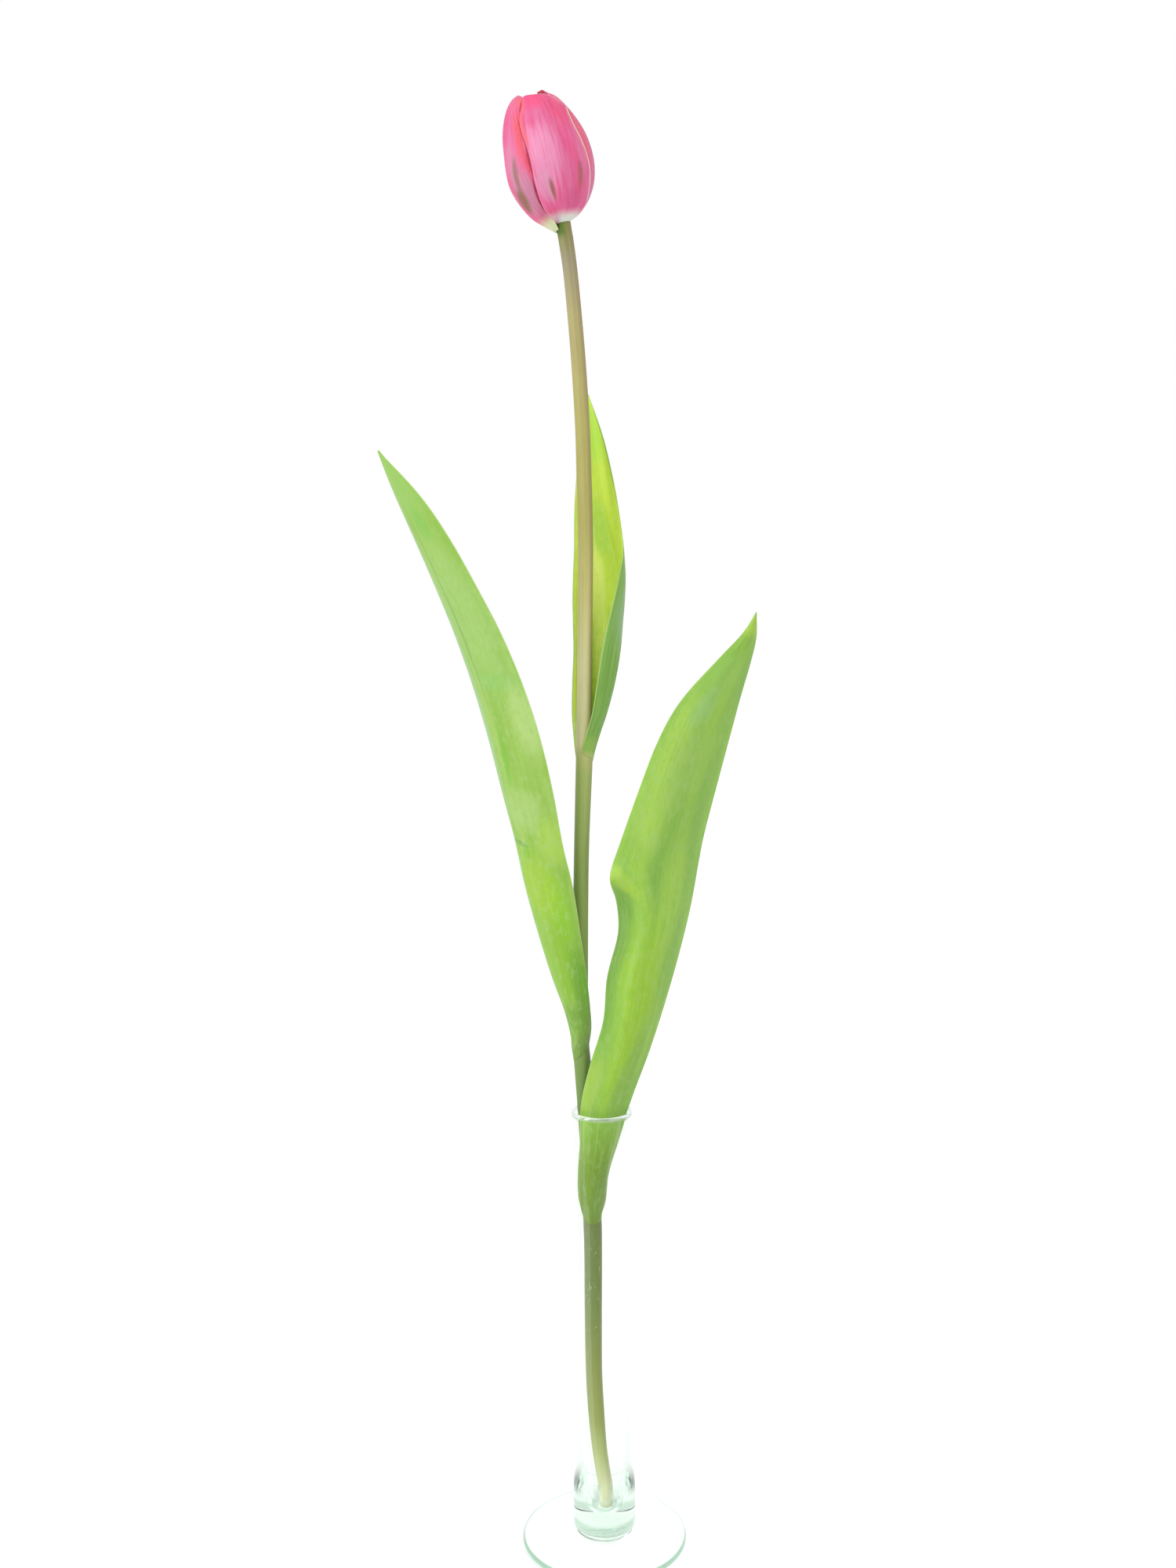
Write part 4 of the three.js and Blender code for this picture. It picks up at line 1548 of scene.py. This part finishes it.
LEAF_MIDDLE = Leaf(
    node="leaf_middle",
    left=(
        (-10.1, 0.6, 179), (-10.9, 0.9, 187), (-13.2, 0.6, 197), (-17.5, 0, 209),
        (-22.5, 0, 225.5), (-27, 0, 242.5), (-30.5, -2, 260), (-34.5, -2, 276), (-39, -4, 295),
        (-44, -5, 313), (-50, -6, 331), (-56.5, -8, 348), (-63, -11, 364), (-69, -16, 379),
        (-73, -25, 391.4),
    ),
    middle=(
        (-7.4, -2.6, 181.5), (-7.7, -3.4, 189), (-9.4, -4.7, 197), (-12.3, -6, 209),
        (-16.3, -7.2, 225), (-20.2, -8.2, 242.5), (-23.7, -10.5, 259.5), (-27.5, -11.8, 276.5),
        (-31.9, -14.2, 295), (-37, -15.4, 313), (-43.6, -16.4, 331), (-50.8, -18.2, 347.5),
        (-58.2, -20.2, 363.5), (-65.3, -22.7, 378), (-72.7, -25.6, 392),
    ),
    right=(
        (-4.3, 0.8, 185.5), (-3.6, 0.9, 190.5), (-3.8, -0.8, 197), (-4.8, -3.6, 208),
        (-6.8, -6.5, 223.5), (-9.5, -9, 242.5), (-13, -12, 258.5), (-16, -15, 276.5),
        (-20, -18, 295), (-25.5, -20, 313), (-32.5, -22, 330.5), (-40.5, -24, 346.5),
        (-49.5, -26, 363), (-59, -27, 377), (-72.3, -26, 391.4),
    ),
    swells=(
        Swell(0.05, 0.7, 0.14, 0.22, -1.4), Swell(0.3, 0.42, 0.14, 0.02, 0.6),
        Swell(0.18, 0.428, 0.2, 0.01, -0.8), Swell(0.6, 0.63, 0.4, 0.03, 0.5),
    ),
    finish=LeafFinish(
        "middle_leaf_skin",
        blade=seen(164, 202, 100),
        deep=seen(148, 192, 82),
        glow=seen(178, 212, 108),
        waxy=seen(182, 212, 138),
        patches=(
            # Pale: partly the waxy bloom, partly painted sheen.
            Patch(0.6, 0.74, 0.6, 0.15, seen(166, 206, 118), 0.75, ragged=0.6),
            Patch(0.5, 0.95, 0.8, 0.08, seen(158, 203, 104), 0.8),
            Patch(0.6, 0.88, 0.22, 0.04, seen(132, 196, 82), 0.7, ragged=0.8),
            Patch(0.66, 0.652, 0.5, 0.018, seen(146, 200, 106), 0.7, ragged=0.4),
            # Pale at the right: partly the waxy bloom, partly painted sheen.
            Patch(0.88, 0.6, 0.24, 0.07, seen(194, 222, 142), 0.75, ragged=0.4),
            Patch(0.37, 0.54, 0.08, 0.06, seen(120, 190, 52), 0.85, lean=0.08, ragged=0.9),
            # Whitish: partly the waxy bloom, partly painted sheen.
            Patch(0.45, 0.475, 0.5, 0.045, seen(174, 208, 124), 0.85, ragged=0.6),
            Patch(0.85, 0.43, 0.3, 0.05, seen(178, 214, 92), 0.85, ragged=0.5),
            Patch(0.72, 0.32, 0.26, 0.09, seen(142, 203, 40), 0.85, ragged=0.8),
            Patch(0.4, 0.36, 0.5, 0.08, seen(166, 208, 62), 0.8, ragged=0.6),
            Patch(0.5, 0.24, 0.6, 0.1, seen(142, 190, 52), 0.8, ragged=0.5),
            Patch(0.33, 0.41, 0.12, 0.014, seen(130, 192, 58), 0.85),
            # Painted shade in the crease.
            Patch(0.22, 0.424, 0.2, 0.007, seen(112, 164, 78), 0.9, lean=-0.3),
            Patch(0.85, 0.2, 0.3, 0.1, seen(112, 172, 60), 0.85, ragged=0.5),
            Patch(0.25, 0.26, 0.3, 0.1, seen(152, 200, 84), 0.6, ragged=0.5),
            Patch(0.5, 0.12, 0.9, 0.07, seen(120, 168, 66), 0.8, ragged=0.3),
            Patch(0.5, 0.02, 1.2, 0.08, seen(122, 156, 80), 0.9),
            # Painted shade along the fold near the left margin.
            Patch(0.33, 0.75, 0.035, 0.17, seen(120, 172, 92), 0.7, lean=0.04, ragged=0.3),
        ),
        # Along the left margin: partly the waxy bloom, partly painted sheen where the blade curves
        # away.
        bands=(
            Band(Edge.LEFT, 0.22, seen(166, 206, 158), 0.75, low=0.5, high=0.92),
            Band(Edge.LEFT, 0.07, seen(214, 232, 222), 0.85, low=0.14, high=0.46),
        ),
    ),
)

LEAF_UPPER = Leaf(
    node="leaf_upper",
    left=(
        (-8.3, 1.2, 287), (-8.9, 1.6, 291), (-9.4, 2, 297), (-9.8, 2.4, 304), (-9.6, 2.6, 314),
        (-9.1, 3, 325), (-9.2, 3.8, 335), (-9.3, 4.6, 344), (-9, 5.6, 353), (-8.6, 6.5, 362),
        (-8.4, 7.5, 375), (-7.5, 8, 388), (-6.3, 8, 401), (-3.7, 8, 415),
    ),
    middle=(
        (-2.9, 1.5, 285.5), (-1.9, 2.4, 290.5), (0, 3.4, 297), (2.2, 4.2, 304), (4.8, 4.5, 314),
        (6.7, 4.5, 325), (7.3, 5.5, 335), (7.6, 6.5, 344), (7.1, 7.5, 353), (5, 9, 362),
        (2.5, 10, 375), (0.5, 10, 388), (-1.5, 9.5, 401), (-3.4, 8.2, 415.5),
    ),
    right=(
        (-6.6, -2.9, 290), (-5.6, -3.5, 293.5), (-4.2, -4.4, 298), (-2.6, -5.2, 304),
        (-0.9, -5.5, 314), (0.8, -5.5, 325), (3, -5, 335), (5.3, -4, 344), (7.3, -2.5, 353),
        (8.6, -0.5, 361), (7.1, 2, 375), (4.8, 4.5, 388), (1.7, 6.5, 401), (-3.2, 8, 415),
    ),
    finish=LeafFinish(
        "upper_leaf_skin",
        # Painted light: this front face is brighter than the other leaves, for the light that
        # shines through the leaf from behind.
        blade=colour(210, 232, 84),
        deep=colour(192, 220, 72),
        glow=colour(226, 240, 112),
        waxy=colour(216, 236, 136),
        back=seen(120, 170, 78),
        back_glow=seen(142, 192, 94),
        patches=(
            # Painted light beside the stem, lifting the stem's shade on the blade.
            Patch(0.2, 0.5, 0.12, 0.4, colour(238, 248, 140), 0.85, ragged=0.3),
            Patch(0.34, 0.73, 0.24, 0.08, colour(170, 214, 84), 0.75, ragged=0.7),
            Patch(0.5, 0.93, 0.7, 0.09, colour(178, 224, 84), 0.7, ragged=0.4),
            Patch(0.02, 0.12, 0.2, 0.13, colour(220, 240, 156), 0.8),
        ),
        bands=(Band(Edge.RIGHT, 0.07, seen(126, 176, 96), 0.75, low=0.62),),
        back_patches=(
            Patch(0.6, 0.5, 0.4, 0.16, seen(158, 192, 148), 0.85, ragged=0.7),
            Patch(0.62, 0.28, 0.14, 0.2, seen(126, 170, 100), 0.6, ragged=0.7),
            Patch(0.8, 0.06, 0.5, 0.1, seen(148, 190, 92), 0.85, ragged=0.3),
            Patch(0.75, -0.01, 0.7, 0.06, seen(180, 194, 120), 1.0),
        ),
    ),
)

CORAL = seen(252, 104, 104)
# Painted highlight where light catches a petal's raised margin.
EDGE_HIGHLIGHT = seen(255, 228, 216)
# Painted shadow in the seam under the front petal's left margin.
SEAM_SHADOW = seen(170, 40, 80)

FRONT_FINISH = TepalFinish(
    "front_petal_skin",
    patches=(
        # These pale lilac patches are partly the petal's own lilac and partly a painted highlight
        # on its lit centre-left.
        Patch(-5, 0.46, 27, 0.27, seen(242, 166, 202), 0.8, ragged=0.9),
        Patch(-10, 0.55, 16, 0.16, seen(246, 164, 202), 0.6, ragged=0.9),
        Patch(-16, 0.30, 14, 0.12, seen(228, 170, 200), 0.7, ragged=0.8),
        Patch(31, 0.52, 11, 0.22, seen(242, 104, 154), 0.8, lean=-6, ragged=1.0),
        Patch(46, 0.45, 9, 0.2, seen(238, 138, 178), 0.7, ragged=0.8),
        Patch(-2, 0.86, 34, 0.13, seen(254, 88, 138), 0.85, ragged=0.5),
        Patch(34, 0.74, 22, 0.16, seen(248, 92, 134), 0.8, ragged=0.8),
        Patch(46, 0.84, 14, 0.08, seen(254, 136, 154), 0.8, ragged=0.4),
        Patch(28, 0.20, 24, 0.10, seen(220, 100, 146), 0.7, ragged=0.8),
        Patch(-5.5, 0.275, 4.6, 0.08, seen(146, 108, 66), 0.95, lean=-2, ragged=1.1),
        Patch(40, 0.33, 6.5, 0.1, seen(170, 112, 92), 0.8, ragged=1.1),
        Patch(8, 0.902, 26, 0.012, EDGE_HIGHLIGHT, 0.9),
    ),
    bands=(
        Band(Edge.LEFT, 0.35, seen(218, 142, 172), 0.75, high=0.1),
        Band(Edge.LEFT, 0.03, seen(246, 164, 180), 0.5, low=0.1),
        Band(Edge.LEFT, 0.10, seen(255, 122, 126), 0.8, low=0.55, high=0.85),
        Band(Edge.RIGHT, 0.13, seen(252, 138, 156), 0.6, low=0.4),
        Band(Edge.RIGHT, 0.055, EDGE_HIGHLIGHT, 1.0, low=0.1),
        Band(Edge.RIGHT, 0.13, EDGE_HIGHLIGHT, 0.9, low=0.84),
    ),
)

LEFT_FINISH = TepalFinish(
    "left_petal_skin",
    base=seen(228, 234, 188),
    patches=(
        Patch(-62, 0.50, 20, 0.14, seen(226, 152, 182), 0.65, ragged=0.8),
        Patch(-54, 0.29, 28, 0.22, seen(206, 154, 176), 0.95, ragged=0.6),
        Patch(-48, 0.86, 10, 0.12, seen(236, 128, 156), 0.6, ragged=0.8),
        Patch(-38, 0.62, 8, 0.24, CORAL, 0.85, ragged=0.5),
        Patch(-32, 0.88, 11, 0.11, seen(252, 122, 128), 0.85, ragged=0.5),
        Patch(-32, 0.44, 6, 0.12, seen(238, 88, 104), 0.85, ragged=0.4),
        Patch(-54.5, 0.41, 7, 0.14, seen(146, 126, 106), 0.9, lean=10, ragged=0.8),
        Patch(-67, 0.268, 19, 0.105, seen(130, 114, 70), 1.0, lean=10, ragged=0.6),
        # Painted shadow along the seam, beneath the front petal's margin.
        Patch(-37.2, 0.25, 3.6, 0.15, SEAM_SHADOW, 1.0, lean=16),
        Patch(-30, 0.46, 2.4, 0.14, seen(190, 44, 72), 0.9),
        Patch(-32.8, 0.65, 2.2, 0.12, seen(206, 52, 76), 0.9, lean=-6),
        Patch(-29.2, 0.80, 3.2, 0.09, seen(206, 52, 76), 0.9, lean=8),
    ),
    bands=(Band(Edge.LEFT, 0.015, EDGE_HIGHLIGHT, 0.6),),
)

RIGHT_FINISH = TepalFinish(
    "right_petal_skin",
    rose=seen(236, 118, 154),
    patches=(
        Patch(62, 0.62, 13, 0.42, seen(246, 108, 126), 0.8, lean=-8, ragged=0.4),
        # Painted shade: grey lilac where the petal turns away at the bud's right side.
        Patch(100, 0.40, 24, 0.35, seen(206, 156, 184), 0.75, ragged=0.5),
        Patch(146, 0.95, 14, 0.07, seen(178, 44, 66), 0.9, ragged=0.5),
    ),
    bands=(Band(Edge.LEFT, 0.015, EDGE_HIGHLIGHT, 0.6),),
)

TEPALS = (
    Tepal(
        node="tepal_outer_front",
        margins=(
            (-44, 62), (-39, 84), (-35.5, 77), (-31.5, 68), (-28, 65), (-25.5, 59.5), (-26.5, 54.5),
            (-30.5, 51), (-32.5, 54), (-27, 63), (-21, 26),
        ),
        profile=FRONT_PROFILE,
        lifts=(Swell(0.75, 0.95, 0.5, 0.2, -0.65),),
        end=0.9,
        number=1,
        finish=FRONT_FINISH,
    ),
    Tepal(
        node="tepal_outer_left",
        margins=(
            (-150, -40), (-160, -32), (-163, -22), (-162, -16), (-161, -12), (-161, -10),
            (-162, -8), (-162, -4), (-168, 2), (-186, 0), (-160, -44),
        ),
        profile=LEFT_PROFILE,
        tucked=(Edge.RIGHT,),
        number=2,
        finish=LEFT_FINISH,
    ),
    Tepal(
        node="tepal_outer_right",
        margins=(
            (84, 190), (64, 202), (58, 202), (52, 200), (46, 200), (40, 200), (36, 200),
            (36, 198), (38, 190), (44, 172), (80, 146),
        ),
        end=0.94,
        profile=RIGHT_PROFILE,
        lifts=(Swell(1.0, 0.95, 0.5, 0.1, 4.3),),
        tucked=(Edge.LEFT, Edge.RIGHT),
        number=3,
        finish=RIGHT_FINISH,
    ),
)


def inner_ring(name: str, first: float, half_width: float, finish: TepalFinish,
               **shape: float) -> list[Tepal]:
    """Makes a ring of three like petals inside the outer ones.

    Args:
        name: The ring's name, which each petal's node starts with.
        first: The angle of the first petal's middle from the front, in degrees.
        half_width: Half the angle that a petal takes up at its widest.
        finish: The petals' finish.
        **shape: What else differs from an outer petal.

    Returns:
        The three petals.
    """
    widths = (0.5, 0.8, 0.95, 1.0, 1.0, 1.0, 1.0, 1.0, 1.0, 0.9, 0.2)
    ring = []
    for k in range(3):
        centre = first + 120 * k
        margins = [(centre - half_width * w, centre + half_width * w) for w in widths]
        ring.append(Tepal(
            node=f"{name}_{k + 1}", margins=margins, finish=finish, rows=26, columns=18,
            number=len(TEPALS) + 1 + k, **shape,
        ))
    return ring


@dataclass
class Studio:
    """The camera of the photograph, a pale floor and plain soft light."""

    camera_at: Point = (-4.2, -536.2, 325.5)
    pitch: float = -5.0
    roll: float = -0.4
    lens: float = 35.0
    sensor: float = 36.0
    floor_side: float = 12.0
    floor_drop: float = 0.3
    floor_low: Colour = colour(246, 247, 248)
    floor_high: Colour = colour(250, 250, 250)
    surround_strength: float = 0.9
    aim: Point = (0, 0, 0.3)
    softness: float = 50.0
    key_energy: float = 1.05
    key_from: Point = (-1.2, -1.6, 2.4)
    fill_energy: float = 0.65
    fill_from: Point = (1.6, -1.4, 0.9)
    panel_energy: float = 4.0
    panel_width: float = 0.35
    panel_height: float = 1.1
    panel_at: Point = (-0.9, -0.5, 0.5)

    def build(self) -> None:
        """Sets up the camera, the floor and the light."""
        self.build_camera()
        self.build_floor()
        self.build_surround()
        self.build_lamps()
        bpy.context.scene.view_settings.view_transform = "Standard"

    def build_camera(self) -> None:
        """Places the camera where the photograph was taken from."""
        data = bpy.data.cameras.new("camera")
        data.lens = self.lens
        data.sensor_width = self.sensor
        data.sensor_fit = "AUTO"
        data.clip_start = 0.01
        camera = put("camera", data)
        camera.location = Vector(self.camera_at) * MM
        level = Euler((math.radians(90 + self.pitch), 0, 0)).to_matrix()
        rolled = level @ Matrix.Rotation(math.radians(self.roll), 3, "Z")
        camera.rotation_euler = rolled.to_euler()
        bpy.context.scene.camera = camera

    def build_floor(self) -> None:
        """Lays a plain pale floor just under the foot."""
        maker = bmesh.new()
        bmesh.ops.create_grid(maker, x_segments=1, y_segments=1, size=self.floor_side / 2)
        bmesh.ops.translate(maker, vec=(0, 0, -self.floor_drop * MM), verts=maker.verts)
        paint = Paint.named("floor_paint")
        tone = paint.noise(paint.place(), (3.0, 3.0, 3.0))
        floor = put_mesh(maker, "floor", paint.finish({
            "Base Color": paint.mix(tone, self.floor_low, self.floor_high),
            "Roughness": 0.9,
            "Specular IOR Level": 0.1,
        }))
        floor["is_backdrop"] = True

    def build_surround(self) -> None:
        """Surrounds the flower with white that is a little darker at the sides and in front.

        The camera itself sees plain white.
        """
        bpy.context.scene.world = bpy.data.worlds.new("surround")
        paint = Paint(bpy.context.scene.world)
        aside, ahead, up = paint.axes(paint.place())
        sides = abs(aside).rise(0.55, 1.0) * 0.25
        front = ahead.rise(-0.2, -1.0) * 0.3
        below = up.rise(-0.1, -0.6) * 0.1
        white = paint.mix(1.0 - sides - front - below, BLACK, WHITE)
        light = paint.node(
            "ShaderNodeBackground", {}, {"Color": white, "Strength": self.surround_strength},
        )
        plain = paint.node("ShaderNodeBackground", {}, {"Color": WHITE, "Strength": 1.0})
        straight = paint.node("ShaderNodeLightPath", {}, {}, "Is Camera Ray")
        blend = paint.node("ShaderNodeMixShader", {}, {0: straight, 1: light, 2: plain})
        output = paint.tree.nodes.new("ShaderNodeOutputWorld")
        paint.tree.links.new(blend.socket, output.inputs["Surface"])

    def build_lamps(self) -> None:
        """Hangs a broad soft key, a weaker fill at the right and a tall panel at the left."""
        for name, energy, at in (
            ("key", self.key_energy, self.key_from), ("fill", self.fill_energy, self.fill_from),
        ):
            sun = bpy.data.lights.new(name, "SUN")
            sun.energy = energy
            sun.angle = math.radians(self.softness)
            self.hang(sun, at)
        panel = bpy.data.lights.new("panel", "AREA")
        panel.shape = "RECTANGLE"
        panel.size = self.panel_width
        panel.size_y = self.panel_height
        panel.energy = self.panel_energy
        self.hang(panel, self.panel_at)

    def hang(self, data: bpy.types.Light, at: Point) -> None:
        """Hangs a lamp and turns it towards the middle of the flower.

        Args:
            data: The lamp.
            at: Where it hangs, in metres.
        """
        lamp = put(data.name, data)
        lamp.location = at
        towards = Vector(self.aim) - Vector(at)
        lamp.rotation_euler = towards.to_track_quat("-Z", "Y").to_euler()


@dataclass
class Tulip:
    """The whole part: the vase, and the flower that stands in it."""

    vase: Vase = field(default_factory=Vase)
    stem: Stem = field(default_factory=Stem)
    leaves: tuple[Leaf, ...] = (LEAF_LOWER, LEAF_MIDDLE, LEAF_UPPER)
    heart: Heart = field(default_factory=Heart)

    def build(self) -> None:
        """Builds every piece, from the vase upwards."""
        self.vase.build()
        self.stem.build()
        for leaf in self.leaves:
            leaf.build(self.stem)
        for tepal in self.tepals():
            tepal.build()
        self.heart.build()

    def tepals(self) -> list[Tepal]:
        """Lists the petals of all three rings.

        Returns:
            The petals, from the outer ring inwards.
        """
        middle = inner_ring("tepal_middle", 82, 64, TepalFinish("middle_petal_skin"), layer=1)
        heart = inner_ring(
            "tepal_heart", 22, 56, TepalFinish("heart_petal_skin"), layer=2, start=0.08, end=0.9,
        )
        return [*TEPALS, *middle, *heart]


def main() -> None:
    """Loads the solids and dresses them."""
    logging.basicConfig(level=logging.INFO, format="%(message)s")
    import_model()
    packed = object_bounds()
    Tulip().build()
    Studio().build()
    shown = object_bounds()
    boxes = {
        "packed": [list(corner) for corner in packed],
        "shown": [list(corner) for corner in shown],
    }
    log.info("packed box %s, shown box %s", boxes["packed"], boxes["shown"])


if __name__ == "__main__":
    main()
